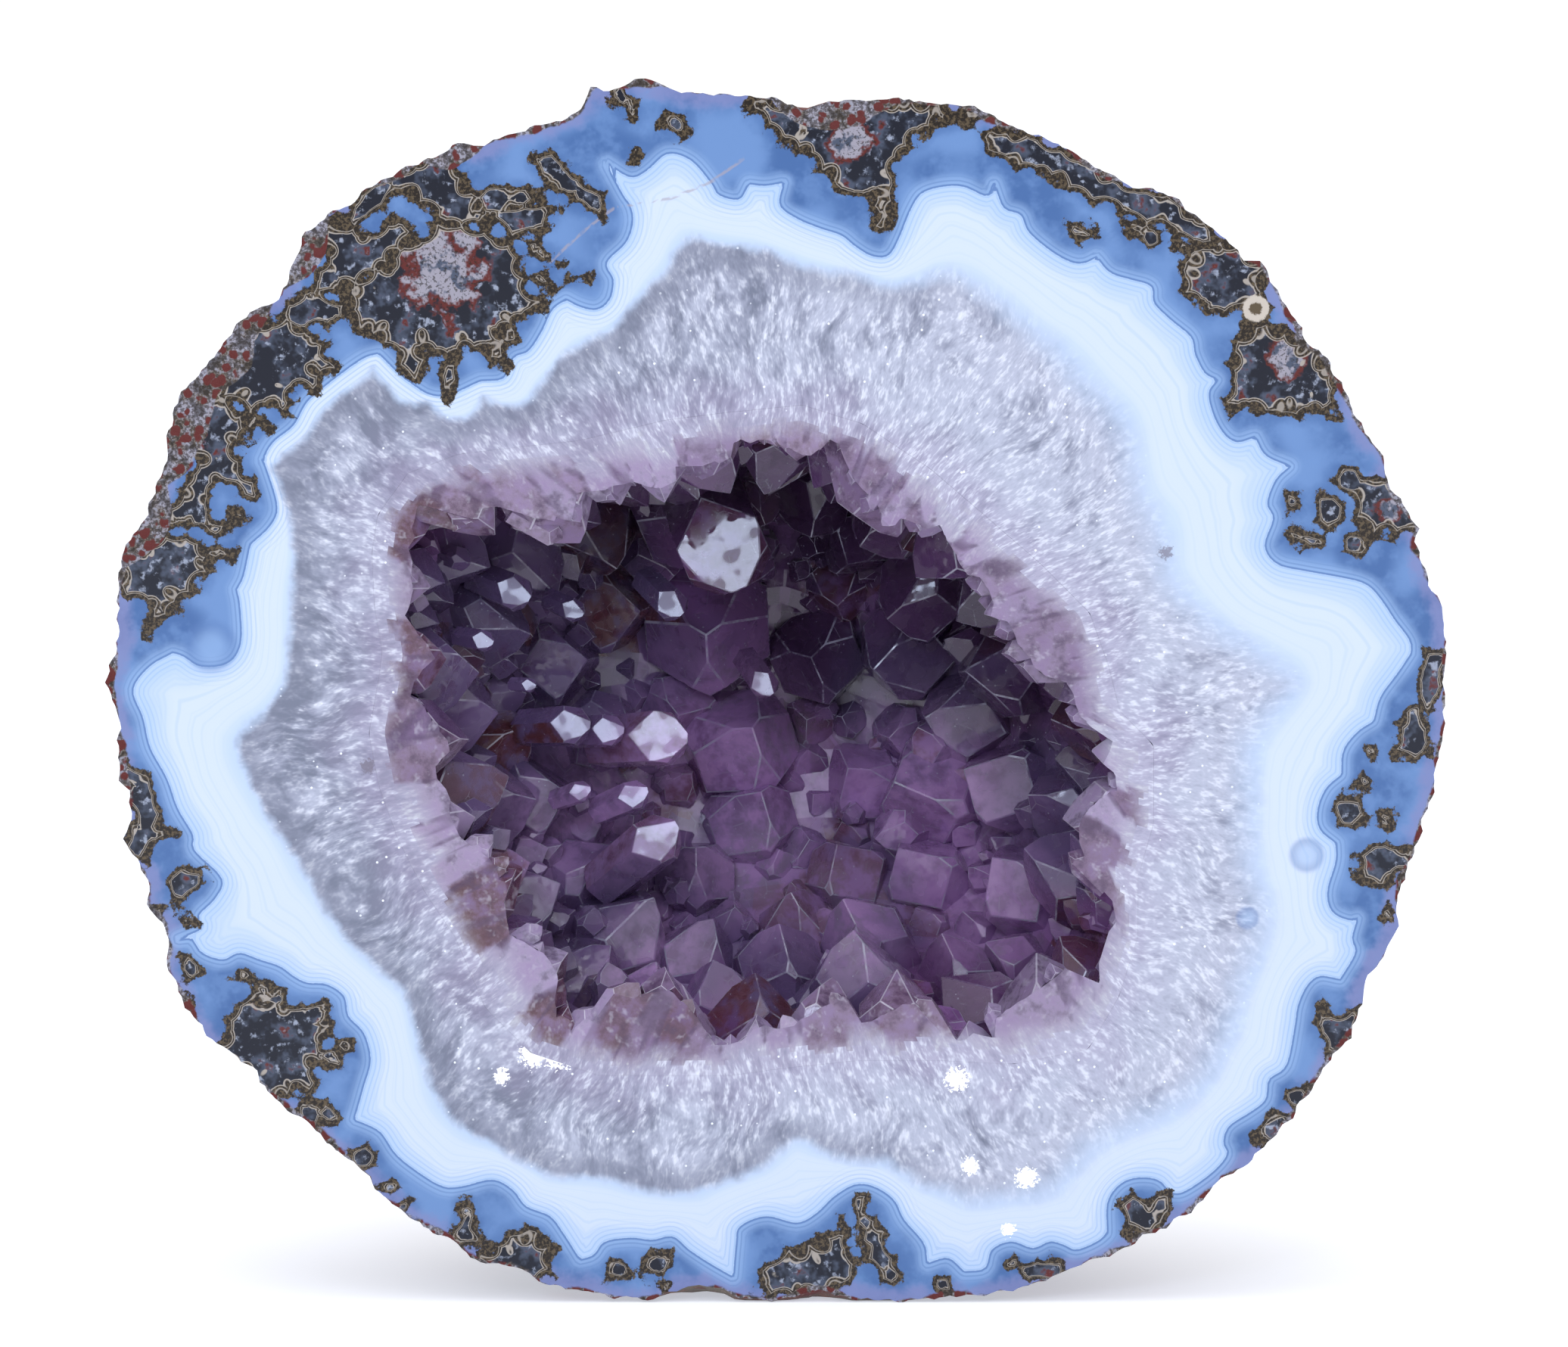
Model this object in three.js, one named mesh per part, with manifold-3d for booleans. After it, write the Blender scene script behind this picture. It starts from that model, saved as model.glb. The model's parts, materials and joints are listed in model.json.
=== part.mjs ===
// Half of an agate nodule with an open hollow lined with amethyst points.
// Millimetres, Z up. The sawn face looks along -Y and the rough dome lies behind it.
import * as THREE from "three";
import Module from "manifold-3d";

// Driving dimensions.
const UNIT = 0.07332; // one unit of the outlines below
const OUTLINE_X = 1026.7; // outline column at x = 0
const OUTLINE_Z = 1729; // outline row at z = 0
const DEPTH = 58; // sawn face to back of the dome
const FRONT = -DEPTH / 2; // y of the sawn face
const CENTRE_Z = 59.5; // height of the axis from which the stone is drawn
const HOLLOW_DEPTH = 38;
const LINING = 2.6; // crust between its points
const GAP = 0.3; // crust to wall of the hollow
const COLUMNS = 80; // facets around the stone
const DOME_RINGS = 12;
const HOLLOW_RINGS = 7;
const SIZES = [4.9, 4.0, 3.2]; // radii of the crystals over the wall of the hollow
const TRIES = 260; // places tried for each size
const TIP = 1.1; // height of a crystal's point over its radius
const SEED = 7;

// Edge of the sawn face, clockwise from the top.
const EDGE = [
  [838, 109], [905, 120], [941, 125], [986, 125], [1021, 131], [1057, 145], [1093, 138], [1129, 133],
  [1218, 136], [1276, 140], [1347, 171], [1425, 207], [1496, 245], [1541, 256], [1568, 276], [1612, 310],
  [1666, 350], [1702, 408], [1722, 450], [1762, 495], [1796, 558], [1829, 598], [1840, 649], [1878, 696],
  [1869, 716], [1891, 774], [1911, 841], [1911, 926], [1900, 1020], [1882, 1091], [1851, 1185],
  [1851, 1225], [1820, 1283], [1801, 1343], [1769, 1395], [1715, 1475], [1679, 1520], [1612, 1573],
  [1546, 1627], [1496, 1658], [1403, 1691], [1345, 1712], [1298, 1720], [1187, 1729], [1129, 1725],
  [1079, 1712], [1053, 1723], [1012, 1727], [977, 1723], [932, 1709], [883, 1718], [820, 1727],
  [761, 1712], [680, 1685], [613, 1662], [529, 1609], [457, 1537], [412, 1497], [350, 1444], [292, 1390],
  [252, 1350], [216, 1287], [212, 1223], [189, 1196], [194, 1167], [160, 1113], [167, 1051], [154, 957],
  [138, 903], [157, 832], [158, 752], [185, 694], [217, 616], [234, 529], [292, 459], [341, 410],
  [379, 375], [404, 312], [466, 265], [522, 232], [609, 187], [636, 194], [676, 176], [756, 154],
  [783, 119], [807, 120],
];

// Line along which the crystals are rooted where the saw has cut them, clockwise from the left.
const ROOTS = [
  [500, 680], [540, 625], [607, 600], [690, 590], [766, 582], [880, 555], [960, 545], [1060, 535],
  [1140, 560], [1230, 620], [1300, 680], [1375, 745], [1440, 810], [1465, 880], [1480, 940], [1525, 985],
  [1525, 1090], [1505, 1160], [1505, 1240], [1480, 1320], [1440, 1390], [1340, 1410], [1240, 1405],
  [1135, 1405], [1040, 1415], [965, 1425], [870, 1425], [790, 1425], [700, 1395], [640, 1335],
  [600, 1240], [560, 1180], [525, 1110], [500, 1040], [487, 970], [500, 900], [505, 860], [495, 800],
  [492, 730],
];

// Crystals cut through by the saw: root, tip and width across, in outline units.
const CUT = [
  [[495, 690], [573, 690], 90], [[575, 600], [655, 710], 90], [[690, 590], [768, 722], 130],
  [[790, 580], [815, 676], 95], [[868, 570], [880, 668], 60], [[940, 545], [925, 637], 90],
  [[1005, 540], [1008, 594], 60], [[1060, 535], [1058, 617], 85], [[1150, 560], [1190, 720], 130],
  [[1250, 640], [1262, 714], 55], [[1380, 730], [1262, 775], 150], [[1440, 810], [1330, 878], 110],
  [[1470, 900], [1400, 935], 75], [[1525, 1000], [1440, 1000], 85], [[1525, 1085], [1397, 1090], 105],
  [[1515, 1170], [1453, 1178], 50], [[1510, 1270], [1443, 1285], 100], [[1400, 1410], [1370, 1256], 150],
  [[1290, 1420], [1286, 1350], 65], [[1190, 1410], [1190, 1288], 115], [[1085, 1412], [1100, 1296], 95],
  [[1000, 1425], [1000, 1345], 60], [[865, 1430], [880, 1296], 155], [[720, 1400], [745, 1322], 75],
  [[655, 1330], [755, 1262], 90], [[590, 1215], [690, 1150], 100], [[515, 1090], [635, 1082], 105],
  [[482, 975], [627, 982], 110], [[500, 870], [595, 872], 90], [[490, 775], [572, 775], 80],
];

// Largest crystals deep in the hollow: where each stands and its radius in mm.
const LARGE = [
  [[969, 1040], 6.4], [[985, 1150], 5.2], [[1159, 1092], 4.6], [[1270, 1095], 6.2], [[925, 850], 7.4],
  [[958, 735], 5.0], [[1129, 1225], 4.4], [[1254, 1221], 4.6], [[881, 975], 4.2], [[760, 1010], 4.6],
  [[1090, 900], 5.4], [[1230, 880], 5.6], [[770, 830], 4.8],
];

const FULL = 2 * Math.PI;

// A repeatable stream of numbers from 0 to 1.
function stream(seed) {
  let state = seed;
  return () => {
    state = (state + 0x6d2b79f5) | 0;
    let t = Math.imul(state ^ (state >>> 15), state | 1);
    t ^= t + Math.imul(t ^ (t >>> 7), t | 61);
    return ((t ^ (t >>> 14)) >>> 0) / 4294967296;
  };
}

const across = (column) => (column - OUTLINE_X) * UNIT;
const height = (row) => (OUTLINE_Z - row) * UNIT;

// Distance from the axis to a closed outline, in the direction of an angle.
function reach(outline, angle) {
  const ux = Math.cos(angle);
  const uz = Math.sin(angle);
  let best = 0;
  outline.forEach(([column, row], i) => {
    const [nextColumn, nextRow] = outline[(i + 1) % outline.length];
    const ax = across(column);
    const az = height(row) - CENTRE_Z;
    const bx = across(nextColumn) - ax;
    const bz = height(nextRow) - CENTRE_Z - az;
    const cross = ux * bz - uz * bx;
    if (Math.abs(cross) < 1e-9) return;
    const along = (ax * bz - az * bx) / cross;
    const share = (ax * uz - az * ux) / cross;
    if (along > 0 && share >= 0 && share <= 1) best = Math.max(best, along);
  });
  return best;
}

// Shallow dents of the rind, from 0 at the lumps down to -1 in the dents.
function dent(x, y, z) {
  const wide = Math.sin(x * 0.21 + z * 0.13 + 1.3) + Math.sin(z * 0.24 - y * 0.19 + 0.4);
  const mid = Math.sin(y * 0.33 + x * 0.17 - 2.1) + Math.sin(x * 0.41 - z * 0.37 + y * 0.29);
  return (wide + 0.7 * mid) / 6.8 - 0.5;
}

// The reach of the edge with its notches evened out.
function evenReach(angle) {
  let sum = 0;
  for (let k = -6; k <= 6; k++) sum += (7 - Math.abs(k)) * reach(EDGE, angle + k * 0.09);
  return sum / 49;
}

// A point of the rind: an angle around the axis and a turn from the face (0) to the back (1).
function rindPoint(angle, turn) {
  const t = (turn * Math.PI) / 2;
  const down = Math.max(0, -Math.sin(angle)) ** 3;
  const bulge = 6.5 * down * Math.sin(2 * t) ** 0.8;
  const fall = Math.cos(t) ** (0.8 - 0.5 * down);
  const even = evenReach(angle);
  const edge = even + (reach(EDGE, angle) - even) * Math.exp(-9 * turn);
  const r = edge * fall + (turn < 1 ? bulge : 0);
  const x = r * Math.cos(angle);
  const y = FRONT + DEPTH * Math.sin(t);
  const z = CENTRE_Z + r * Math.sin(angle);
  const sunk = 3.4 * dent(x, y, z) * Math.min(1, turn * 7);
  const out = new THREE.Vector3(x, (y - FRONT) * 0.9, z - CENTRE_Z).normalize();
  return new THREE.Vector3(x, y, z).addScaledVector(out, sunk);
}

// A point of the hollow's wall moved inwards by an inset.
function wallPoint(angle, turn, inset) {
  const t = (turn * Math.PI) / 2;
  const r = (reach(ROOTS, angle) - inset) * Math.cos(t) ** 0.9;
  const y = FRONT + (HOLLOW_DEPTH - inset) * Math.sin(t) ** 0.95;
  return new THREE.Vector3(r * Math.cos(angle), y, CENTRE_Z + r * Math.sin(angle));
}

// Rings of points around the axis, joined into faces; a ring of one point closes the surface.
function skin(rings) {
  const points = rings.flat();
  const starts = [];
  let count = 0;
  rings.forEach((ring) => {
    starts.push(count);
    count += ring.length;
  });
  const faces = [];
  const columns = rings[1].length;
  for (let k = 0; k + 1 < rings.length; k++) {
    const a = starts[k];
    const b = starts[k + 1];
    for (let i = 0; i < columns; i++) {
      const j = (i + 1) % columns;
      if (rings[k + 1].length === 1) faces.push(a + i, a + j, b);
      else if (rings[k].length === 1) faces.push(a, b + j, b + i);
      else faces.push(a + i, a + j, b + j, a + i, b + j, b + i);
    }
  }
  return { points, faces };
}

const wasm = await Module();
wasm.setup();

function solid({ points, faces }) {
  const vertProperties = new Float32Array(points.flatMap((p) => [p.x, p.y, p.z]));
  const triVerts = new Uint32Array(faces);
  return new wasm.Manifold(new wasm.Mesh({ numProp: 3, vertProperties, triVerts }));
}

function ringOf(place, columns, turn, ...rest) {
  return Array.from({ length: columns }, (_, i) => place((-i * FULL) / columns, turn, ...rest));
}

const turns = (count) => Array.from({ length: count }, (_, i) => i / count);

// Stretches the dome to its full depth and flattens it underneath.
function settle(points) {
  const back = Math.max(...points.map((p) => p.y));
  points.forEach((p) => {
    p.y = FRONT + ((p.y - FRONT) * DEPTH) / (back - FRONT);
    p.z = Math.max(0, p.z);
  });
}

function shellSolid() {
  const dome = turns(DOME_RINGS).map((turn) => ringOf(rindPoint, COLUMNS, turn));
  dome.push([rindPoint(0, 1)]);
  settle(dome.flat());
  const bowl = turns(HOLLOW_RINGS).map((turn) => ringOf(wallPoint, COLUMNS, turn, 0));
  bowl.push([wallPoint(0, 1, 0)]);
  return solid(skin([...bowl.reverse(), ...dome]));
}

// The space inside the hollow, down to an inset from its wall.
function hollowSolid(inset, ahead, columns, rings) {
  const bowl = turns(rings).map((turn) => ringOf(wallPoint, columns, turn, inset));
  if (ahead) bowl.unshift(bowl[0].map((p) => p.clone().setY(FRONT - ahead)));
  const middle = new THREE.Vector3(0, FRONT - ahead, CENTRE_Z);
  bowl.unshift([middle]);
  bowl.push([wallPoint(0, 1, inset)]);
  return solid(skin(bowl));
}

// A six-sided crystal from its root along an axis, closed by a point that leans a little.
function crystal(root, axis, radius, length, spin, lean) {
  const along = axis.clone().normalize();
  const side = new THREE.Vector3(0.31, 0.17, 0.93).cross(along).normalize();
  const other = along.clone().cross(side);
  const shoulder = length - TIP * radius;
  const ring = (at, r) =>
    Array.from({ length: 6 }, (_, i) => {
      const a = spin + (i * FULL) / 6;
      return root
        .clone()
        .addScaledVector(along, at)
        .addScaledVector(side, r * Math.cos(a))
        .addScaledVector(other, r * Math.sin(a));
    });
  const points = [...ring(0, radius * 0.9), ...ring(Math.max(shoulder, 0.8), radius)];
  const tip = root.clone().addScaledVector(along, length);
  tip.addScaledVector(side, lean[0] * radius).addScaledVector(other, lean[1] * radius);
  points.push(tip);
  const faces = [];
  for (let i = 0; i < 6; i++) {
    const j = (i + 1) % 6;
    faces.push(i, j, 6 + j, i, 6 + j, 6 + i, 6 + i, 6 + j, 12);
  }
  for (let i = 1; i < 5; i++) faces.push(0, i + 1, i);
  return solid({ points, faces });
}

// Where a line from the middle of the hollow's mouth meets its wall.
function wallAlong(direction) {
  const flat = Math.hypot(direction.x, direction.z);
  const wide = flat / reach(ROOTS, Math.atan2(direction.z, direction.x));
  let low = 0;
  let high = 80;
  for (let i = 0; i < 30; i++) {
    const mid = (low + high) / 2;
    const deep = (mid * direction.y) / HOLLOW_DEPTH;
    if ((mid * wide) ** 2.2 + deep ** 2.1 < 1) low = mid;
    else high = mid;
  }
  return new THREE.Vector3(0, FRONT, CENTRE_Z).addScaledVector(direction, low);
}

// The wall behind a place on the sawn face.
function wallBehind(x, z) {
  const angle = Math.atan2(z - CENTRE_Z, x);
  const share = Math.hypot(x, z - CENTRE_Z) / reach(ROOTS, angle);
  const deep = HOLLOW_DEPTH * (1 - Math.min(0.98, share) ** 2.2) ** (1 / 2.1);
  return new THREE.Vector3(x, FRONT + deep, z);
}

const aim = new THREE.Vector3(-1, FRONT + 7, CENTRE_Z - 2);

function cutCrystals(next) {
  return CUT.map(([[rootColumn, rootRow], [tipColumn, tipRow], width]) => {
    const radius = (width * UNIT) / 1.8;
    const y = FRONT + radius * (0.15 + 0.3 * next());
    const root = new THREE.Vector3(across(rootColumn), y, height(rootRow));
    const tip = new THREE.Vector3(across(tipColumn), y, height(tipRow));
    const axis = tip.clone().sub(root);
    axis.y = 0.12 * axis.length();
    const lean = [0.3 * (next() - 0.5), 0.3 * (next() - 0.5)];
    return crystal(root, axis, radius, axis.length(), next() * FULL, lean);
  });
}

function wallCrystals(next) {
  const made = [];
  const stand = (wall, radius, stretch) => {
    const axis = aim.clone().sub(wall).normalize();
    const root = wall.clone().addScaledVector(axis, 1.6);
    axis.x += 0.5 * (next() - 0.5);
    axis.z += 0.5 * (next() - 0.5);
    const lean = [0.5 * (next() - 0.5), 0.5 * (next() - 0.5)];
    made.push({ wall, radius });
    return crystal(root, axis, radius, radius * stretch, next() * FULL, lean);
  };
  const solids = LARGE.map(([[column, row], radius]) => {
    return stand(wallBehind(across(column), height(row)), radius, 1.6);
  });
  SIZES.forEach((size) => {
    for (let i = 0; i < TRIES; i++) {
      const deep = next();
      const angle = next() * FULL;
      const flat = Math.sqrt(1 - deep * deep);
      const direction = new THREE.Vector3(flat * Math.cos(angle), deep, flat * Math.sin(angle));
      const wall = wallAlong(direction);
      const close = made.some((m) => m.wall.distanceTo(wall) < 0.82 * (m.radius + size));
      if (!close) solids.push(stand(wall, size * (0.9 + 0.25 * next()), 1.2 + 0.5 * next()));
    }
  });
  return solids;
}

function crustSolid() {
  const next = stream(SEED);
  const space = hollowSolid(GAP, 0, COLUMNS, HOLLOW_RINGS);
  const lining = space.subtract(hollowSolid(GAP + LINING, 5, COLUMNS / 4, 4));
  const points = [...cutCrystals(next), ...wallCrystals(next)];
  return wasm.Manifold.union([lining, ...points]).intersect(space);
}

function mesh(name, body, colour, roughness) {
  const { vertProperties, triVerts } = body.getMesh();
  const geometry = new THREE.BufferGeometry();
  geometry.setAttribute("position", new THREE.BufferAttribute(vertProperties, 3));
  geometry.setIndex(new THREE.BufferAttribute(triVerts, 1));
  const flat = geometry.toNonIndexed();
  flat.computeVertexNormals();
  const made = new THREE.Mesh(flat, new THREE.MeshStandardMaterial({ color: colour, roughness }));
  made.name = name;
  return made;
}

const geode = new THREE.Group();
geode.name = "geode";
geode.add(mesh("agate_shell", shellSolid(), 0x9fb4dc, 0.35));
geode.add(mesh("amethyst_crust", crustSolid(), 0x5d4670, 0.15));

export default geode;
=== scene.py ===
"""Half of an agate nodule, sawn and polished in front, with an open hollow lined with amethyst points.

Everything is in metres in the frame of the solids: Z up, the sawn face looks along -Y. Lengths in the
classes below are in millimetres and are turned to metres where a mesh is written.
"""

import json
import logging
import math
from collections.abc import Callable, Sequence
from dataclasses import dataclass, field
from enum import Enum

import bmesh
import bpy
import numpy as np
from mathutils import Matrix, Vector, noise

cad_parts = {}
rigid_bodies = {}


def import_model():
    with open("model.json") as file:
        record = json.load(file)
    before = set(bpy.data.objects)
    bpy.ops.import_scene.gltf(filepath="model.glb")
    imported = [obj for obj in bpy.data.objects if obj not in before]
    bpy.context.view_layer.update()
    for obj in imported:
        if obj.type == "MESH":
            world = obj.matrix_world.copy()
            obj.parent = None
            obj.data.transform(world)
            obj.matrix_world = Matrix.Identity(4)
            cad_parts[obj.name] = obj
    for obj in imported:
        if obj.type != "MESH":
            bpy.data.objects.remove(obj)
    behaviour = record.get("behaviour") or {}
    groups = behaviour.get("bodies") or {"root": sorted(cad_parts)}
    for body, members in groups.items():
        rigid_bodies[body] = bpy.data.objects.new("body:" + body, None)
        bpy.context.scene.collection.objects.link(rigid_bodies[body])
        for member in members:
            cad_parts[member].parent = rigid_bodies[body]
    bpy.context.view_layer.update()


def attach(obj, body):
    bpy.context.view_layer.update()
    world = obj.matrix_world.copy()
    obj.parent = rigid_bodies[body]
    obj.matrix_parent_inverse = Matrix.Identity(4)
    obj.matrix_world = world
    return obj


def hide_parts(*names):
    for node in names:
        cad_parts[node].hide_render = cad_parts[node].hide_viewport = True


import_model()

LOG = logging.getLogger("geode")
MM = 0.001
UNIT = 0.07332  # mm to one unit of the outlines
OUTLINE_X = 1026.7  # outline column at x = 0
OUTLINE_Z = 1729.0  # outline row at z = 0
CENTRE_Z = 59.5
DEPTH = 58.0
FRONT = -DEPTH / 2
HOLLOW_DEPTH = 38.0
FULL = 2 * math.pi


class Zone(Enum):
    """Which surface of the stone a face belongs to, as its material slot."""

    POLISHED = 0
    RIND = 1
    HOLLOW = 2


# Outlines.


def read(text: str) -> tuple[np.ndarray, np.ndarray]:
    """Reads an outline written as column,row pairs, where a star marks a cusp.

    Args:
        text: the pairs, split by blanks.

    Returns:
        The points in mm as (x, z) rows, and whether each is a cusp.
    """
    words = text.split()
    cusps = np.array([w.endswith("*") for w in words])
    pairs = np.array([[float(n) for n in w.rstrip("*").split(",")] for w in words])
    return np.stack([(pairs[:, 0] - OUTLINE_X) * UNIT, (OUTLINE_Z - pairs[:, 1]) * UNIT], 1), cusps


def entries(text: str) -> list[str]:
    """The entries of a list, which bars or line ends split."""
    return text.replace("\n", "|").split("|")


def curve(text: str, steps: int = 4) -> np.ndarray:
    """Draws a smooth closed curve through an outline's points, with a corner at each cusp.

    Args:
        text: the outline as read() takes it.
        steps: points drawn for each point read.

    Returns:
        The curve's points in mm as (x, z) rows.
    """
    p, cusp = read(text)
    before, after = np.roll(p, 1, 0), np.roll(p, -1, 0)
    smooth = (after - before) / 2
    leave = np.where(cusp[:, None], after - p, smooth)
    arrive = np.where(cusp[:, None], p - before, smooth)
    end, into = after, np.roll(arrive, -1, 0)
    out = []
    for k in range(steps):
        t = k / steps
        out.append(
            (2 * t**3 - 3 * t**2 + 1) * p
            + (t**3 - 2 * t**2 + t) * leave
            + (3 * t**2 - 2 * t**3) * end
            + (t**3 - t**2) * into
        )
    return np.stack(out, 1).reshape(-1, 2)


def reach(outline: np.ndarray, angles: np.ndarray) -> np.ndarray:
    """Distance from the stone's axis to an outline.

    Args:
        outline: closed curve in mm.
        angles: directions around the axis.

    Returns:
        One distance in mm for each angle.
    """
    a = outline - np.array([0.0, CENTRE_Z])
    b = np.roll(a, -1, 0) - a
    ux, uz = np.cos(angles)[:, None], np.sin(angles)[:, None]
    cross = ux * b[:, 1] - uz * b[:, 0]
    cross = np.where(np.abs(cross) < 1e-9, 1e-9, cross)
    along = (a[:, 0] * b[:, 1] - a[:, 1] * b[:, 0]) / cross
    share = (a[:, 0] * uz - a[:, 1] * ux) / cross
    return np.where((along > 0) & (share >= 0) & (share <= 1), along, 0.0).max(1)


def signed_distance(points: np.ndarray, outline: np.ndarray) -> np.ndarray:
    """Distance to a closed curve, negative inside it.

    Args:
        points: (x, z) rows in mm.
        outline: closed curve in mm.

    Returns:
        One distance in mm for each point.
    """
    a, b = outline, np.roll(outline, -1, 0)
    d = b - a
    length2 = np.maximum((d**2).sum(1), 1e-12)
    found = np.empty(len(points))
    for start in range(0, len(points), 4000):
        p = points[start : start + 4000]
        rel = p[:, None, :] - a[None]
        t = np.clip((rel * d).sum(2) / length2, 0, 1)
        near = np.sqrt(((rel - t[..., None] * d) ** 2).sum(2).min(1))
        over = (a[:, 1] > p[:, 1:2]) != (b[:, 1] > p[:, 1:2])
        with np.errstate(divide="ignore", invalid="ignore"):
            cut = d[:, 0] * (p[:, 1:2] - a[:, 1]) / (b[:, 1] - a[:, 1]) + a[:, 0]
        inside = (over & (p[:, 0:1] < cut)).sum(1) % 2 == 1
        found[start : start + 4000] = np.where(inside, -near, near)
    return found


EDGE = """838,109 870,111 905,120 941,125 986,125 1021,131 1057,145 1093,138 1129,133 1173,130 1218,136
1276,140 1316,156 1347,171 1400,192 1425,207 1456,225 1496,245 1541,256 1568,276 1612,310 1639,339 1666,350
1682,377 1702,408 1720,433 1722,450 1746,468 1762,495 1782,526 1796,558 1813,580 1829,598 1833,625 1840,649
1878,696* 1869,716 1882,743 1891,774 1907,805 1911,841 1911,926 1909,971 1900,1020 1896,1051 1882,1091
1873,1127 1860,1154 1851,1185 1851,1225 1835,1261 1820,1283 1804,1314 1801,1343 1787,1372 1769,1395 1746,1433
1715,1475 1679,1520 1648,1546 1612,1573 1586,1602 1546,1627 1508,1642 1496,1658 1447,1674 1403,1691 1345,1712
1298,1720 1236,1725 1187,1729 1129,1725 1097,1714 1079,1712 1053,1723 1012,1727 977,1723 932,1709 883,1718
861,1727 820,1727 789,1718 761,1712 725,1707 680,1685 636,1676 613,1662 587,1645 560,1629 529,1609 502,1587
484,1564 457,1537 430,1513 412,1497 377,1475 350,1444 328,1417 292,1390 270,1372 252,1350 234,1314 216,1287
218,1252 212,1223 189,1196 194,1167 174,1133 160,1113 167,1087 167,1051 156,1029 156,1002 154,957 147,926
138,903* 151,863 157,832 156,792 158,752 167,720 185,694 205,647 217,616 220,584 229,553 234,529 265,491
292,459 312,430 341,410 368,395 379,375 390,339 404,312 426,290 466,265 488,245 522,232 555,214 584,205
609,187 636,194 676,176 756,154 783,119 807,120"""

AGATE = """700,464 718,437 731,410 749,397* 767,406 789,410 807,397 812,370 803,348 829,321 838,294 834,272
825,259 803,218* 834,236 856,227 883,205 914,214 941,245 950,259 977,265 990,245* 1012,247 1035,243* 1030,272
1053,290 1084,303 1111,312 1129,326 1151,339 1173,339 1187,317 1204,276 1222,254 1267,247 1303,261 1312,245*
1325,276 1347,285 1358,308 1389,334 1416,348 1434,348 1447,341* 1465,361 1492,370 1519,379 1523,401 1546,424
1572,446 1577,468 1590,493 1606,502* 1595,522 1608,562 1630,584 1657,578* 1671,602 1702,616* 1684,634 1673,665
1681,685 1670,721 1686,745 1721,754 1771,763 1804,772 1824,792 1842,819 1862,846 1864,863* 1846,890 1824,921
1815,953* 1793,968 1775,993 1773,1024* 1753,1042 1742,1069 1744,1096 1766,1116* 1766,1140 1755,1180 1762,1207
1784,1218 1795,1216* 1788,1243 1793,1261 1773,1296* 1746,1292 1729,1305 1717,1332 1713,1359 1702,1412
1679,1430 1675,1457 1653,1475 1626,1493 1619,1515 1624,1531 1604,1555 1568,1580 1550,1582* 1532,1564
1501,1562 1479,1573 1465,1596 1465,1636* 1452,1647 1425,1658 1407,1651 1389,1647 1367,1656 1338,1647
1312,1658 1303,1683 1276,1687* 1254,1669 1227,1676* 1222,1649 1196,1618 1182,1591 1155,1573 1129,1571
1102,1587 1079,1609 1053,1622 1012,1613 977,1627 972,1649 968,1694* 937,1676 910,1658 888,1640 861,1645
834,1642 798,1647 783,1665 765,1671* 743,1636 725,1613 694,1600 676,1578 649,1564 609,1573 582,1573 546,1551
520,1529 502,1502 484,1491 466,1484* 479,1439 488,1404 479,1368 459,1346 453,1319 430,1303 404,1301 386,1292
368,1279 341,1270 314,1261 292,1270 265,1261 252,1243 234,1243* 265,1229 261,1212 283,1189 292,1162 256,1125
254,1104 234,1069 220,1029 198,988 189,948 176,912 198,881 229,863* 243,868 265,881 301,877 319,850 318,800
314,779* 323,761 332,720* 359,694 368,667 352,613 350,607 363,584 390,562 408,531 435,508 457,491 484,473
502,468* 529,495 546,508 569,522 595,522 636,504* 667,500 680,473"""

QUARTZ = """700,526 712,509 727,491 758,459 807,433 843,392 879,357 905,317 950,321 1012,330 1057,348
1102,357 1146,366 1182,375 1218,366 1245,357 1280,370 1316,392 1356,424 1380,446 1400,460 1425,491 1470,535
1496,580 1510,642 1538,707 1552,765 1588,805 1623,832 1677,868 1708,895 1712,912 1677,957 1659,988 1657,1024
1659,1091 1663,1158 1677,1194 1679,1221 1671,1256 1648,1314 1635,1359 1612,1412 1586,1448 1550,1475 1501,1497
1452,1524 1421,1555 1389,1582 1345,1591 1294,1596 1258,1587 1213,1573 1173,1546 1129,1542 1084,1529 1048,1515
1004,1551 950,1569 914,1584 856,1582 789,1564 725,1560 658,1524 604,1493 569,1444 551,1390 542,1346 529,1314
493,1283 457,1247 430,1210 404,1165 377,1122 354,1082 332,1046 319,1015 310,984 319,966 350,939 377,895
381,850 386,779 386,725 381,676 368,640 357,616 363,611 386,591 408,576 421,551 448,522 479,504 495,482*
524,522 551,535 569,531 587,549 609,553 627,544 638,522* 658,533 685,535"""

ROOTS = """500,680 540,625 607,600 690,590 766,582 880,555 960,545 1060,535 1140,560 1230,620 1300,680
1375,745 1440,810 1465,880 1480,940 1525,985 1525,1090 1505,1160 1505,1240 1480,1320 1440,1390 1340,1410
1240,1405 1135,1405 1040,1415 965,1425 870,1425 790,1425 700,1395 640,1335 600,1240 560,1180 525,1110
500,1040 487,970 500,900 505,860 495,800 492,730"""

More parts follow.
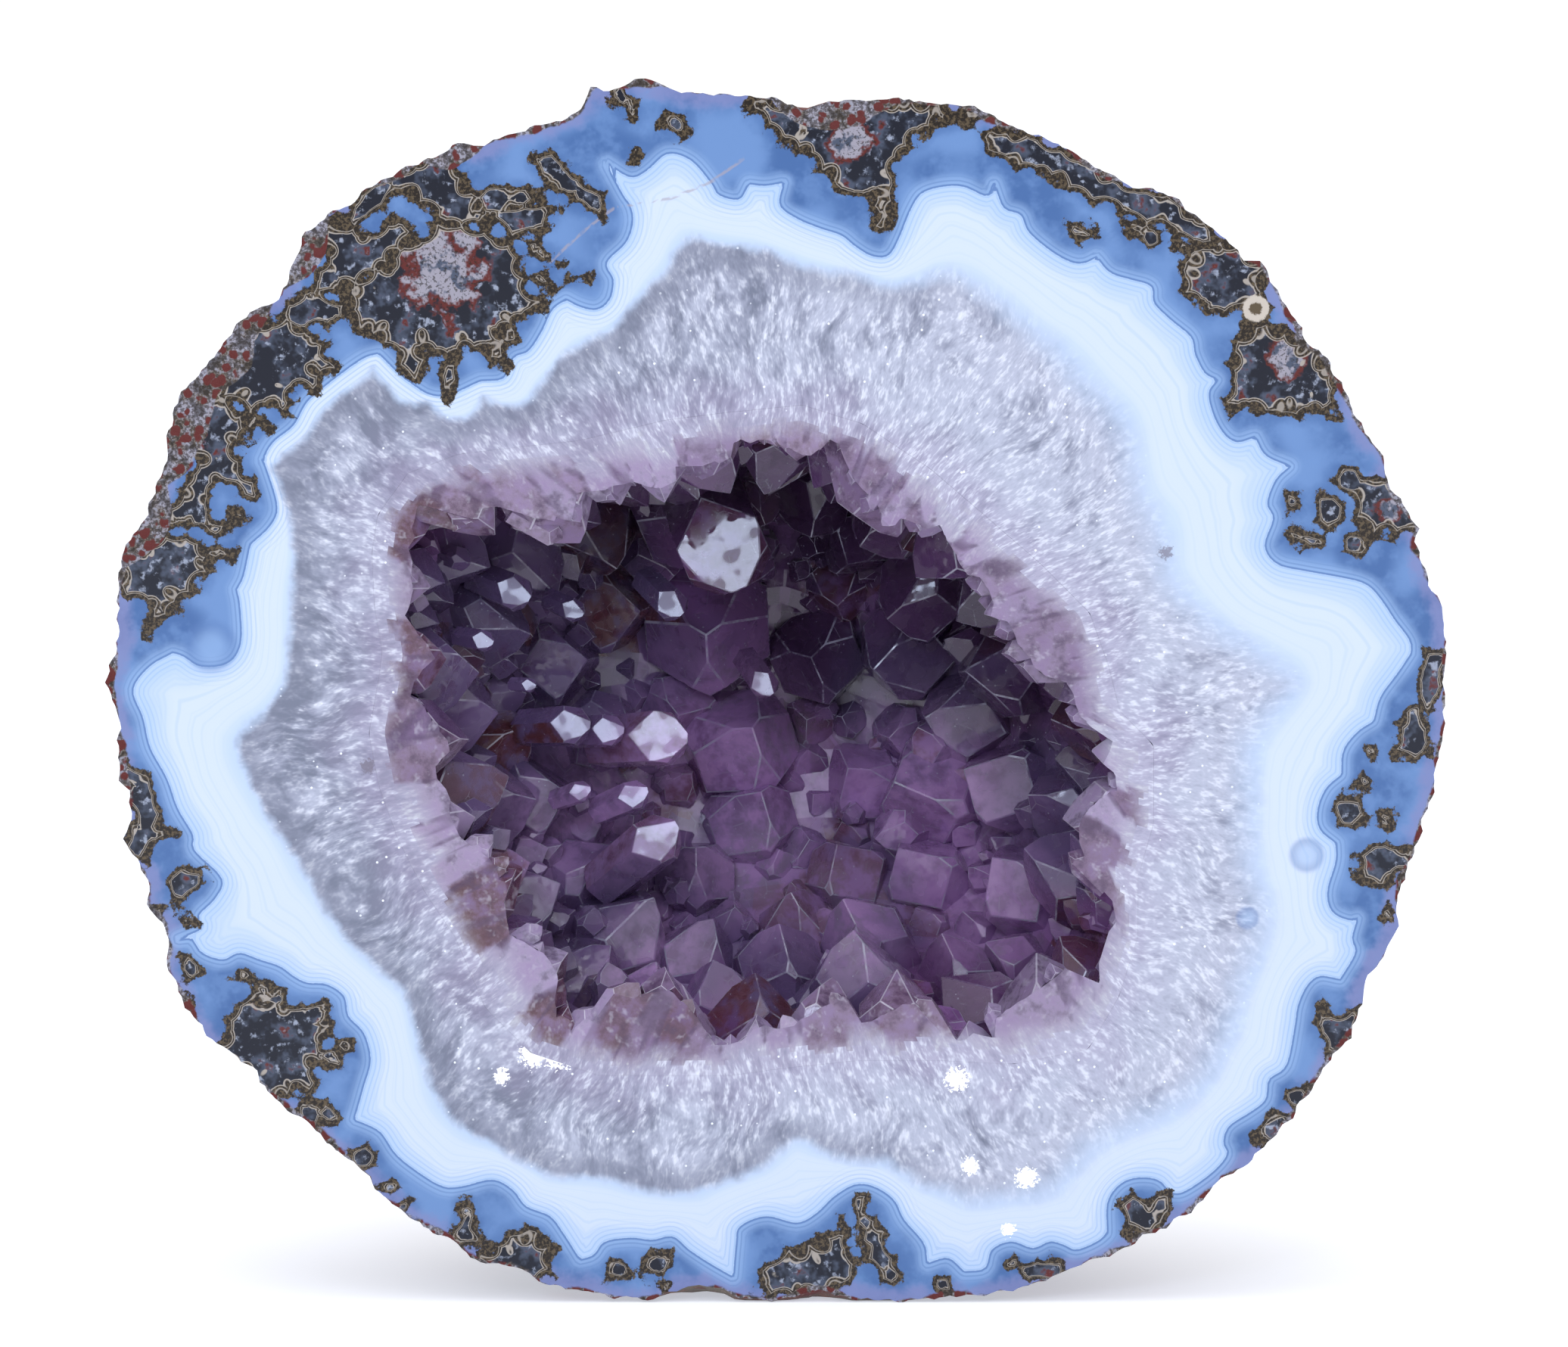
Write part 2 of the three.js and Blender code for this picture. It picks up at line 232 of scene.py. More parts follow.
TEETH = """571,670 607,692 661,710 670,690 692,692 732,708 772,722 786,676 826,674 844,652 884,672 875,634
924,636 955,621 1000,589 1022,589 1045,616 1071,616 1098,589 1107,603 1116,661 1147,705 1208,718 1226,698
1230,716 1253,756 1279,801 1304,857 1329,879 1364,899 1391,899 1402,953 1445,973 1438,997 1458,1037 1422,1060
1395,1087 1409,1118 1413,1140 1453,1176 1470,1207 1461,1220 1443,1279 1447,1319 1385,1256 1327,1296 1298,1330
1303,1368 1285,1350 1249,1386 1240,1359 1191,1292 1135,1341 1106,1296 1048,1328 1035,1354 1012,1343 977,1359
950,1368 941,1350 923,1305 896,1265 820,1310 780,1359 743,1323 761,1265 749,1234 694,1216 689,1127 667,1113
633,1096 604,1029 582,1020 627,984 591,948 560,912 596,872 582,850 546,819 560,796 569,752 560,734"""

VEIN = "727,348 776,303 812,276 888,263 941,241 986,209"

# Dark inclusions in the outer agate: closed outlines, split by bars.
MARKS = """472,368 505,352 540,321 573,305 610,300 654,311 690,336 695,380 716,413 680,425 680,445 662,448
673,478 652,480 620,450 606,462 598,522 588,495 578,463 555,458 560,482 552,497 537,490 525,465
508,450 490,436 470,425|428,321 450,290 480,303 515,303 533,290 540,305 525,345 493,365 462,382
430,392 410,370 432,350|377,410 405,395 430,390 458,412 470,426 420,424 396,437|290,508 310,462
350,424 380,419 404,437 435,437 420,450 436,457 428,468 446,486 420,493 430,512 417,515 392,513
390,550 372,548 352,535 330,544 305,520|243,531 262,522 290,530 332,546 361,562 340,572 312,585
320,615 338,633 338,655 315,652 290,640 278,672 300,702 285,708 262,690 232,698 215,700 240,650
262,600 240,560|158,742 190,715 225,708 260,712 290,725 314,726 285,742 266,770 240,785 222,815
200,838 196,805 178,785 160,772|522,230 546,218 584,207 606,235 630,255 653,303 630,300 590,292
572,270 546,260 526,245|638,268 645,248 680,250 728,262 718,270 690,274 645,284|658,283 690,275
725,272 734,285 722,300 700,314 682,310 668,298|708,214 722,203 743,210 762,235 784,252 805,278
784,280 760,268 732,248|466,297 473,272 490,252 512,241 517,250 502,276 484,292|160,1014 176,1011
195,1030 207,1058 207,1085 190,1100 175,1080 165,1050|164,1105 175,1090 195,1098 226,1105 200,1112
195,1128 178,1140 165,1128|222,1163 240,1155 262,1150 270,1158 262,1175 240,1186 222,1188|286,1392
305,1350 330,1322 352,1314 366,1330 392,1328 415,1345 436,1352 425,1378 432,1398 410,1412 412,1440
385,1452 352,1456 330,1432 305,1415|597,1647 604,1612 612,1590 620,1605 630,1645|632,1672 645,1648
668,1640 690,1630 712,1640 728,1660 724,1690 700,1710 668,1702 640,1688|1000,1712 1015,1680
1042,1666 1075,1655 1100,1630 1115,1612 1122,1640 1128,1668 1120,1700 1096,1712 1060,1722
1020,1722|1128,1592 1140,1590 1160,1630 1180,1668 1192,1700 1178,1708 1155,1680
1138,1640|1345,1690 1355,1676 1380,1672 1405,1678 1400,1695 1370,1700|1484,1600 1500,1584
1520,1592 1546,1586 1540,1612 1518,1640 1496,1632|1665,1505 1680,1482 1700,1478 1712,1492
1700,1512 1680,1520|1742,1330 1760,1345 1790,1340 1798,1330 1798,1365 1775,1402 1758,1398
1745,1365|1795,1130 1810,1116 1840,1120 1870,1122 1868,1150 1845,1160 1825,1172
1800,1160|1842,1000 1848,960 1862,936 1878,935 1886,960 1885,990 1870,1002|1876,905 1880,875
1892,862 1908,865 1909,900 1895,938 1880,935|1795,640 1830,636 1858,655 1880,695 1850,706 1812,704
1793,690|1623,470 1640,445 1672,434 1705,436 1722,455 1755,480 1764,515 1762,555 1735,545 1700,548
1668,540 1640,530 1618,542 1625,505|1560,385 1565,350 1590,322 1625,320 1650,335 1668,352 1660,385
1640,405 1608,410 1596,420 1575,402|1300,175 1345,178 1400,200 1450,228 1500,250 1545,262 1580,292
1628,334 1600,330 1570,318 1545,300 1505,288 1470,272 1440,262 1400,240 1360,225 1320,205|992,140
1030,136 1058,150 1095,143 1130,138 1195,134 1260,142 1300,155 1230,172 1190,205 1178,250 1164,310
1150,270 1125,255 1090,230 1060,205 1020,175|806,120 818,112 832,128 845,150 838,158 822,142"""

BLADES = """529,227 636,290 20|702,322 741,352 7|705,362 730,378 6|752,366 790,366 4|1240,1700 1256,1712 8
1330,1672 1346,1682 7|1700,705 1745,718 7|1478,292 1510,306 8|1552,318 1572,334 8|1408,300 1450,316 7
243,1322 250,1340 8|420,1390 450,1412 12|255,672 276,690 14|308,675 332,682 7|1715,655 1700,668 8
1800,1026 1812,1040 8|1803,988 1815,1000 7|1884,990 1898,1004 8|1832,1204 1844,1222 7"""

DOTS = """894,167 12|843,199 8|243,1220 8|247,1281 14|415,1346 16|435,1401 12|404,1477 17|430,1477 10
479,1533 15|511,1573 10|529,1600 9|818,1685 11|867,1680 15|879,1707 8|319,1290 7|345,1308 7|366,1323 7
1715,1455 13|1782,1073 19|1833,1084 11|1757,671 19|1779,633 14|1786,718 13|1657,408 17|1521,317 13
453,1386 6|1494,299 8|205,1207 8"""


def lens(a: Sequence[float], b: Sequence[float], half: float) -> str:
    """A blade pointed at both ends, as an outline.

    Args:
        a: one end, as column and row.
        b: the other end.
        half: half of its width.

    Returns:
        The outline as read() takes it.
    """
    start, end = np.array(a), np.array(b)
    along = end - start
    side = np.array([-along[1], along[0]]) / np.linalg.norm(along)
    up = [start + along * t + side * half * math.sin(math.pi * t) for t in np.linspace(0, 1, 7)]
    down = [start + along * t - side * half * math.sin(math.pi * t) for t in np.linspace(1, 0, 7)]
    return " ".join(f"{x:.1f},{y:.1f}" for x, y in up[:-1] + down[:-1])


def ring(column: float, row: float, radius: float) -> str:
    """A round spot as an outline, from its middle and radius."""
    turn = np.linspace(0, FULL, 12, endpoint=False)
    return " ".join(f"{column + radius * math.cos(t):.1f},{row + radius * math.sin(t):.1f}" for t in turn)


def marks() -> list[np.ndarray]:
    """All dark inclusions as closed curves in mm.

    Returns:
        One curve for each inclusion.
    """
    texts = MARKS.replace("\n", " ").split("|")
    for words in entries(BLADES):
        a, b, half = words.split()
        texts.append(lens([float(n) for n in a.split(",")], [float(n) for n in b.split(",")], float(half)))
    for words in entries(DOTS):
        centre, radius = words.split()
        column, row = (float(n) for n in centre.split(","))
        texts.append(ring(column, row, float(radius)))
    return [curve(text, 3) for text in texts]


# Form of the stone.


def stream(seed: int) -> Callable[[], float]:
    """A repeatable stream of numbers from 0 to 1, the same as the solids use.

    Args:
        seed: where the stream starts.

    Returns:
        A function that gives the next number.
    """
    state = seed

    def imul(a: int, b: int) -> int:
        """Product of two whole numbers in 32 bits."""
        return (a * b) & 0xFFFFFFFF

    def draw() -> float:
        """The next number."""
        nonlocal state
        state = (state + 0x6D2B79F5) & 0xFFFFFFFF
        t = imul(state ^ (state >> 15), state | 1)
        t = (t ^ (t + imul(t ^ (t >> 7), t | 61))) & 0xFFFFFFFF
        return ((t ^ (t >> 14)) & 0xFFFFFFFF) / 4294967296

    return draw


def skip(draw: Callable[[], float]) -> None:
    """Leaves out the two numbers that only the solids use."""
    for _ in range(2):
        draw()


def variant(spin: float) -> int:
    """Which of the ordinary crystal forms goes with a spin."""
    return 2 + int(spin * 1.27)


def dent(p: np.ndarray) -> np.ndarray:
    """Shallow dents of the rind at points in mm, from 0 at the lumps down to -1.

    Args:
        p: points in mm.

    Returns:
        One value for each point.
    """
    x, y, z = p[:, 0], p[:, 1], p[:, 2]
    wide = np.sin(x * 0.21 + z * 0.13 + 1.3) + np.sin(z * 0.24 - y * 0.19 + 0.4)
    mid = np.sin(y * 0.33 + x * 0.17 - 2.1) + np.sin(x * 0.41 - z * 0.37 + y * 0.29)
    return (wide + 0.7 * mid) / 6.8 - 0.5


def around(r: np.ndarray, angles: np.ndarray, y: float) -> np.ndarray:
    """A ring of points about the stone's axis, in mm."""
    return np.stack([r * np.cos(angles), np.full_like(r, y), CENTRE_Z + r * np.sin(angles)], 1)


def wall(angles: np.ndarray, turn: float, inset: float, roots: np.ndarray) -> np.ndarray:
    """A ring of the hollow's wall.

    Args:
        angles: directions around the axis.
        turn: 0 at the sawn face and 1 at the deepest point.
        inset: distance kept from the wall, in mm.
        roots: reach of the hollow's edge for each angle.

    Returns:
        Points in mm.
    """
    t = turn * math.pi / 2
    r = (roots - inset) * max(math.cos(t), 0.0) ** 0.9
    y = FRONT + (HOLLOW_DEPTH - inset) * math.sin(t) ** 0.95
    return around(r, angles, y)


def mesh_object(name: str, points: np.ndarray, faces: Sequence[Sequence[int]]) -> bpy.types.Object:
    """Makes an object from points in mm and faces, and links it to the scene.

    Args:
        name: name of the object and its mesh.
        points: rows of x, y, z in mm.
        faces: indices of points.

    Returns:
        The new object.
    """
    data = bpy.data.meshes.new(name)
    data.from_pydata([tuple(p) for p in (points * MM).tolist()], [], faces)
    data.update()
    made = bpy.data.objects.new(name, data)
    bpy.context.scene.collection.objects.link(made)
    return made


def band(a: int, na: int, b: int, nb: int) -> list[tuple[int, ...]]:
    """Faces between two rings, where the first may have twice as many points as the second.

    Args:
        a: index of the first ring's first point.
        na: points in the first ring.
        b: index of the second ring's first point.
        nb: points in the second ring.

    Returns:
        Faces that look outwards when angles fall from point to point.
    """
    if nb == 1:
        return [(a + i, a + (i + 1) % na, b) for i in range(na)]
    if na == 1:
        return [(a, b + (i + 1) % nb, b + i) for i in range(nb)]
    if na == nb:
        return [(a + i, a + (i + 1) % na, b + (i + 1) % na, b + i) for i in range(na)]
    faces: list[tuple[int, ...]] = []
    if na == 2 * nb:
        for i in range(nb):
            p, q, r = a + 2 * i, a + 2 * i + 1, a + (2 * i + 2) % na
            faces += [(p, q, b + i), (q, b + (i + 1) % nb, b + i), (q, r, b + (i + 1) % nb)]
        return faces
    for i in range(na):
        p, q, r = b + 2 * i, b + 2 * i + 1, b + (2 * i + 2) % nb
        faces += [(a + i, q, p), (a + i, a + (i + 1) % na, q), (a + (i + 1) % na, r, q)]
    return faces


# Materials.


def linear(colour: str) -> tuple[float, float, float, float]:
    """Turns an sRGB hex colour to linear values for a shader."""
    parts = [int(colour[i : i + 2], 16) / 255 for i in (1, 3, 5)]
    return (*[c / 12.92 if c <= 0.04045 else ((c + 0.055) / 1.055) ** 2.4 for c in parts], 1.0)


def feed(tree: bpy.types.NodeTree, socket: bpy.types.NodeSocket, value: object) -> None:
    """Sets a node's input, or links it to what feeds it.

    Args:
        tree: the node tree.
        socket: the input.
        value: a value, a colour in sRGB hex, or a node or socket.
    """
    if isinstance(value, bpy.types.Node):
        value = next(s for s in value.outputs if s.enabled)
    if isinstance(value, bpy.types.NodeSocket):
        tree.links.new(value, socket)
    elif isinstance(value, str) and value.startswith("#"):
        socket.default_value = linear(value)
    else:
        socket.default_value = value


def add(
    tree: bpy.types.NodeTree,
    kind: str,
    inputs: dict[int | str, object] | None = None,
    **settings: object,
) -> bpy.types.Node:
    """Adds a node to a tree with its settings, values and links.

    Args:
        tree: node tree to add to.
        kind: Blender's name of the node.
        inputs: input by index or name, to a value, or to the node or socket that feeds it.
        settings: the node's own properties.

    Returns:
        The new node.
    """
    node = tree.nodes.new(kind)
    for name, value in settings.items():
        setattr(node, name, value)
    for key, value in (inputs or {}).items():
        feed(tree, node.inputs[key], value)
    return node


class Paint:
    """A material's node tree, with the few steps that the finishes are written in."""

    def __init__(self, name: str) -> None:
        """Starts a material whose surface is one Principled shader.

        Args:
            name: the material's name.
        """
        self.material = bpy.data.materials.new(name)
        self.material.use_nodes = True
        self.tree = self.material.node_tree
        self.tree.nodes.clear()
        self.shader = add(self.tree, "ShaderNodeBsdfPrincipled")
        self.out = add(self.tree, "ShaderNodeOutputMaterial", {"Surface": self.shader})
        self.place = add(self.tree, "ShaderNodeTexCoord").outputs["Object"]

    def value(self, name: str) -> bpy.types.NodeSocket:
        """A number kept on the mesh's points under a name."""
        return add(self.tree, "ShaderNodeAttribute", attribute_name=name).outputs["Fac"]

    def sum(self, operation: str, *terms: object) -> bpy.types.Node:
        """A Math node over up to three terms."""
        return add(self.tree, "ShaderNodeMath", dict(enumerate(terms)), operation=operation)

    def times(self, first: object, second: object) -> bpy.types.Node:
        """The product of two values."""
        return self.sum("MULTIPLY", first, second)

    def plus(self, first: object, second: object) -> bpy.types.Node:
        """The sum of two values."""
        return self.sum("ADD", first, second)

    def scaled(self, value: object, factor: object, start: object) -> bpy.types.Node:
        """A value times a factor, added to a start."""
        return self.sum("MULTIPLY_ADD", value, factor, start)

    def vector(self, operation: str, *terms: object) -> bpy.types.Node:
        """A Vector Math node over one or two vectors."""
        return add(self.tree, "ShaderNodeVectorMath", dict(enumerate(terms)), operation=operation)

    def axis(self, index: int) -> bpy.types.NodeSocket:
        """One Object coordinate in m: 0 for X, 1 for Y, 2 for Z."""
        return add(self.tree, "ShaderNodeSeparateXYZ", {0: self.place}).outputs[index]

    def step(
        self, value: object, low: float, high: float, start: float = 0.0, end: float = 1.0
    ) -> bpy.types.Node:
        """A smooth rise of a value from start at low to end at high."""
        ends = {0: value, 1: low, 2: high, 3: start, 4: end}
        return add(self.tree, "ShaderNodeMapRange", ends, interpolation_type="SMOOTHSTEP")

    def grain(
        self, size: float, detail: float = 3.0, rough: float = 0.6, at: object = None
    ) -> bpy.types.NodeSocket:
        """Noise whose largest features are a size in mm, on Object coordinates or on a given vector.

        Args:
            size: size of the largest features.
            detail: octaves of finer noise.
            rough: share of each finer octave.
            at: vector to use in place of Object coordinates.

        Returns:
            A value around 0.5.
        """
        scale = 1.0 / (size * MM) if at is None else 1.0 / size
        inputs = {"Vector": at or self.place, "Scale": scale, "Detail": detail, "Roughness": rough}
        return add(self.tree, "ShaderNodeTexNoise", inputs).outputs["Fac"]

    def cells(self, size: float, feature: str = "F1") -> bpy.types.NodeSocket:
        """Distance in Voronoi cells a size in mm across."""
        inputs = {"Vector": self.place, "Scale": 1 / (size * MM)}
        return add(self.tree, "ShaderNodeTexVoronoi", inputs, feature=feature).outputs["Distance"]

    def bump(self, height: object, distance: float, strength: object) -> bpy.types.Node:
        """A Bump node, its distance in mm."""
        inputs = {"Height": height, "Distance": distance * MM, "Strength": strength}
        return add(self.tree, "ShaderNodeBump", inputs)

    def absorb(self, colour: str, density: float) -> None:
        """Lets the inside of the piece absorb light."""
        inside = add(self.tree, "ShaderNodeVolumeAbsorption", {"Color": colour, "Density": density})
        self.tree.links.new(inside.outputs[0], self.out.inputs["Volume"])

    def mix(self, share: object, first: object, second: object) -> bpy.types.NodeSocket:
        """The first colour turning to the second with a share from 0 to 1."""
        inputs = {0: share, 6: first, 7: second}
        return add(self.tree, "ShaderNodeMix", inputs, data_type="RGBA", clamp_factor=True).outputs[2]

    def lay(
        self, under: object, colour: object, value: object, low: float, high: float, share: float = 1.0
    ) -> bpy.types.NodeSocket:
        """Lays a colour over another where a value goes from low to high, up to a share."""
        return self.mix(self.step(value, low, high, 0.0, share), under, colour)

    def finish(self, **inputs: object) -> bpy.types.Material:
        """Sets the shader's inputs, named with underscores for blanks, and returns the material."""
        for name, value in inputs.items():
            feed(self.tree, self.shader.inputs[name.replace("_", " ")], value)
        return self.material


@dataclass(frozen=True)
class QuartzBody:
    """Massive quartz: grey translucent haze with white tufts and needles that all grow inwards."""

    shade: str = "#6F7485"
    body: str = "#9094A5"
    light: str = "#ADB1C1"
    white: str = "#DDE0E9"
    violet: str = "#998DA8"
    across: float = 0.5  # width of a fibre in mm
    along: float = 3.4  # length of a fibre

    def fibres(self, p: Paint, across: float, along: float, bend: float) -> bpy.types.NodeSocket:
        """Noise drawn out towards the axis of the stone.

        Args:
            p: the material.
            across: width of a fibre in mm, 35 mm from the axis.
            along: its length in mm.
            bend: how far tufts lean, over the distance from the axis.

        Returns:
            A value around 0.5.
        """
        away = p.vector("SUBTRACT", p.place, (0.0, 0.0, CENTRE_Z * MM))
        flat = p.vector("MULTIPLY", away, (1.0, 0.0, 1.0))
        unit = p.vector("NORMALIZE", flat)
        far = p.vector("LENGTH", flat).outputs["Value"]
        warp = add(p.tree, "ShaderNodeTexNoise", {"Vector": p.place, "Scale": 1 / (7 * MM), "Detail": 0.0})
        lean = p.vector("MULTIPLY", warp.outputs["Color"], (bend, 0.0, bend))
        bent = p.vector("ADD", unit, lean)
        wide = p.vector("SCALE", bent)
        wide.inputs["Scale"].default_value = 35 / across
        deep = add(p.tree, "ShaderNodeCombineXYZ", {1: p.times(far, 1 / (along * MM))})
        at = p.vector("ADD", wide, deep)
        return p.grain(1.0, 2.0, 0.75, at.outputs[0])

    def colour(self, p: Paint, root: object) -> bpy.types.NodeSocket:
        """The quartz's colour, with violet towards the points and painted glints.

        Args:
            p: the material.
            root: distance in mm from the mouth of the hollow, positive in the stone.

        Returns:
            The colour.
        """
        broad = self.fibres(p, self.across * 3.2, self.along * 1.5, 0.16)
        fine = self.fibres(p, self.across, self.along * 0.45, 0.07)
        haze = p.grain(6.0, 2.0, 0.7)
        x = p.axis(0)
        side = p.step(x, -0.035, 0.035, 0.0, 0.12)
        level = p.plus(p.times(broad, 0.45), p.times(haze, 0.35))
        level = p.plus(p.scaled(fine, 0.16, level), p.plus(side, 0.02))
        found = p.lay(self.shade, self.body, level, 0.40, 0.52)
        found = p.lay(found, self.light, level, 0.48, 0.62)
        inner = p.step(p.scaled(haze, 10.0, root), 11.0, 3.0)
        found = p.mix(p.times(inner, 0.5), found, self.violet)
        wisp = p.times(p.step(fine, 0.48, 0.68), p.step(level, 0.42, 0.62, 0.1, 0.6))
        found = p.mix(wisp, found, self.white)
        found = p.lay(found, self.white, fine, 0.66, 0.76, 0.55)
        found = p.lay(found, self.shade, fine, 0.46, 0.32, 0.2)
        # Painted glints: tiny white spots that stand in for sparkles of light.
        painted_glint = p.times(p.step(p.cells(1.5), 0.10, 0.05), 0.9)
        return p.mix(painted_glint, found, "#F2F5FA")


@dataclass(frozen=True)
class PolishedAgate:
    """Sawn and polished chalcedony: smooth, close to mirror-flat, with soft edges where colour lies deep."""

    royal: str = "#436496"
    sky: str = "#6687B6"
    lilac: str = "#7A7DA8"
    halo: str = "#8BA9CF"
    line: str = "#5877A8"
    milk: str = "#C4CFDF"
    pale: str = "#A9BFDB"
    moss: str = "#574A38"
    moss_dark: str = "#231C17"
    cream: str = "#A59C92"
    slate: str = "#161925"
    slate_light: str = "#474F60"
    frost: str = "#8D94A4"
    vein: str = "#A0969A"
    bead: str = "#5A2320"
    stain: str = "#6E6673"
    khaki: str = "#6A5F55"
    sugar: str = "#94909A"
    quartz: QuartzBody = QuartzBody()
    roughness: float = 0.1
    gloss: float = 0.25  # of the polish, which shows next to no mirror image
    eyes: str = "279,854 2.7|1728,1131 1.8|1650,1215 1.2"
    # Painted glare: white spots that stand in for reflected light on the polish, as column,row and radius in
    # mm.
    painted_glare: str = """662,1426 .8|703,1398 1.3|738,1392 1.8|1265,1430 1.2
1283,1546 .9|1358,1562 1.1|1334,1631 .7"""
    stains: str = "486,1013 .9|1540,730 .8"
    ring: str = "1657,408 1.3"
    shell: str = "#BDB3A6"

    def spots(self, p: Paint, words: str) -> bpy.types.NodeSocket:
        """Distance to the nearest of some spots, over its radius.

        Args:
            p: the material.
            words: the spots as column,row and radius in mm.

        Returns:
            A value below 1 inside the spots.
        """
        found: object = 9.0
        for spot in entries(words):
            place, radius = spot.split()
            ((x, z),) = read(place)[0]
            at = (float(x) * MM, FRONT * MM, float(z) * MM)
            away = p.vector("DISTANCE", p.place, at).outputs["Value"]
            found = p.sum("MINIMUM", found, p.sum("DIVIDE", away, float(radius) * MM))
        return found

    def blue(self, p: Paint, cloud: object, soft: object) -> bpy.types.NodeSocket:
        """Blue chalcedony: deep in clouds and by inclusions, lilac under the rind, paler at scallops.

        Args:
            p: the material.
            cloud: noise of about 2 mm.
            soft: noise of about 7 mm.

        Returns:
            The colour.
        """
        agate, mark, rim = p.value("agate_mm"), p.value("mark_mm"), p.value("rim_mm")
        found = p.lay(self.royal, self.sky, soft, 0.36, 0.62)
        found = p.lay(found, self.sky, cloud, 0.40, 0.66, 0.55)
        around = p.step(p.scaled(cloud, 2.0, mark), 2.6, 1.0)
        found = p.mix(p.times(around, 0.65), found, self.royal)
        under = p.step(p.scaled(cloud, -3.0, rim), 0.5, -1.0)
        found = p.mix(p.times(under, 0.7), found, self.lilac)
        found = p.lay(found, self.halo, agate, 1.5, 0.3, 0.7)
        for at, half, strength in ((0.10, 0.15, 0.9), (0.52, 0.12, 0.5), (0.95, 0.10, 0.25)):
            off = p.sum("ABSOLUTE", p.sum("SUBTRACT", agate, at))
            found = p.mix(p.times(p.step(off, half, half * 0.3), strength), found, self.line)
        return found

    def white(self, p: Paint, soft: object) -> bpy.types.NodeSocket:
        """Pale banded chalcedony, in lines that follow both of its edges.

        Args:
            p: the material.
            soft: noise of about 7 mm.

        Returns:
            The colour.
        """
        agate, quartz = p.value("agate_mm"), p.value("quartz_mm")
        inside = p.sum("MAXIMUM", p.times(agate, -1.0), 0.0)
        width = p.plus(inside, p.sum("MAXIMUM", quartz, 0.0))
        level = p.scaled(soft, 0.22, p.sum("DIVIDE", inside, p.sum("MAXIMUM", width, 0.05)))
        found = p.lay(self.pale, self.milk, level, 0.1, 0.45)
        found = p.lay(found, self.pale, level, 0.85, 1.12, 0.6)
        wide = p.sum("SINE", p.times(level, 46.0))
        thin = p.sum("SINE", p.times(level, 118.0))
        lines = p.plus(p.times(wide, 0.6), p.times(thin, 0.4))
        lines = p.times(p.step(lines, 0.0, 0.9), p.step(level, 1.0, 0.2, 0.12, 0.5))
        found = p.mix(lines, found, self.pale)
        close = p.sum("SINE", p.times(inside, 15.0))
        close = p.times(p.step(close, 0.1, 0.95), p.step(inside, 2.4, 0.2, 0.0, 0.55))
        return p.mix(close, found, self.halo)

    def inclusion(self, p: Paint, cloud: object, tiny: object, near: object) -> bpy.types.NodeSocket:
        """An inclusion: mossy fringe, fine cream growth lines, dark core with pale or rusty crystals.

        Args:
            p: the material.
            cloud: noise of about 2 mm.
            tiny: noise of about 0.4 mm.
            near: distance in mm from the inclusion's ragged edge, negative inside.

        Returns:
            The colour.
        """
        moss = p.lay(self.moss_dark, self.moss, tiny, 0.45, 0.62)
        core = p.lay(self.slate, self.slate_light, cloud, 0.46, 0.64)
        core = p.lay(core, self.frost, p.grain(0.8, 3.0, 0.6), 0.56, 0.70)
        hot = p.scaled(cloud, 1.6, p.value("ember"))
        ember, rusty = p.step(hot, 0.95, 1.1), p.grain(1.7, 3.0, 0.7)
        sugar = p.lay(self.slate_light, self.sugar, rusty, 0.40, 0.52)
        sugar = p.lay(sugar, self.bead, p.scaled(rusty, 0.8, hot), 1.72, 1.52)
        sugar = p.lay(sugar, self.moss_dark, tiny, 0.46, 0.38, 0.7)
        core = p.mix(ember, core, sugar)
        found = p.lay(moss, core, near, -1.15, -1.35)
        for at, half, strength in ((-0.95, 0.09, 0.7), (-1.3, 0.11, 0.9)):
            off = p.sum("ABSOLUTE", p.sum("SUBTRACT", near, at))
            found = p.mix(p.times(p.step(off, half, half * 0.3), strength), found, self.cream)
        return found

    def make(self) -> bpy.types.Material:
        """Builds the material for the sawn face.

        Returns:
            The material.
        """
        p = Paint("polished_agate")
        rim, agate, quartz = p.value("rim_mm"), p.value("agate_mm"), p.value("quartz_mm")
        mark, root = p.value("mark_mm"), p.value("root_mm")
        soft, cloud, tiny = p.grain(7.0, 1.0, 0.5), p.grain(2.2, 3.0, 0.6), p.grain(0.35, 2.0, 0.7)

        stone = self.quartz.colour(p, root)
        x = p.axis(0)
        shade = p.times(p.step(quartz, 0.2, -0.8), p.step(quartz, -3.5, -1.2))
        stone = p.mix(p.times(shade, p.step(x, -0.01, 0.03, 0.55, 0.1)), stone, self.quartz.shade)
        fuzzy = p.scaled(p.sum("SUBTRACT", cloud, 0.5), 1.6, quartz)
        fuzzy = p.times(fuzzy, p.step(x, -0.01, 0.03, 1.0, 0.22))
        body = p.lay(self.white(p, soft), stone, fuzzy, 0.45, -0.8)
        sharp = p.scaled(p.sum("SUBTRACT", tiny, 0.5), 0.12, agate)
        body = p.lay(body, self.blue(p, cloud, soft), sharp, -0.04, 0.05)

        thread = p.scaled(p.sum("SUBTRACT", cloud, 0.5), 0.25, p.value("vein_mm"))
        body = p.lay(body, self.vein, thread, 0.20, 0.06, 0.6)
        loose = p.times(p.sum("SUBTRACT", tiny, 0.5), 2.4)
        eye = self.spots(p, self.eyes)
        iris = p.lay(self.halo, self.line, eye, 0.25, 0.85)
        body = p.lay(body, iris, eye, 1.1, 0.75, 0.5)
        stain = p.plus(self.spots(p, self.stains), loose)
        body = p.lay(body, self.stain, stain, 1.0, 0.5, 0.7)
        # Painted glare: white spots where the polish shows reflected light.
        painted_glare = p.plus(self.spots(p, self.painted_glare), loose)
        body = p.lay(body, "#FFFFFF", painted_glare, 1.0, 0.8)

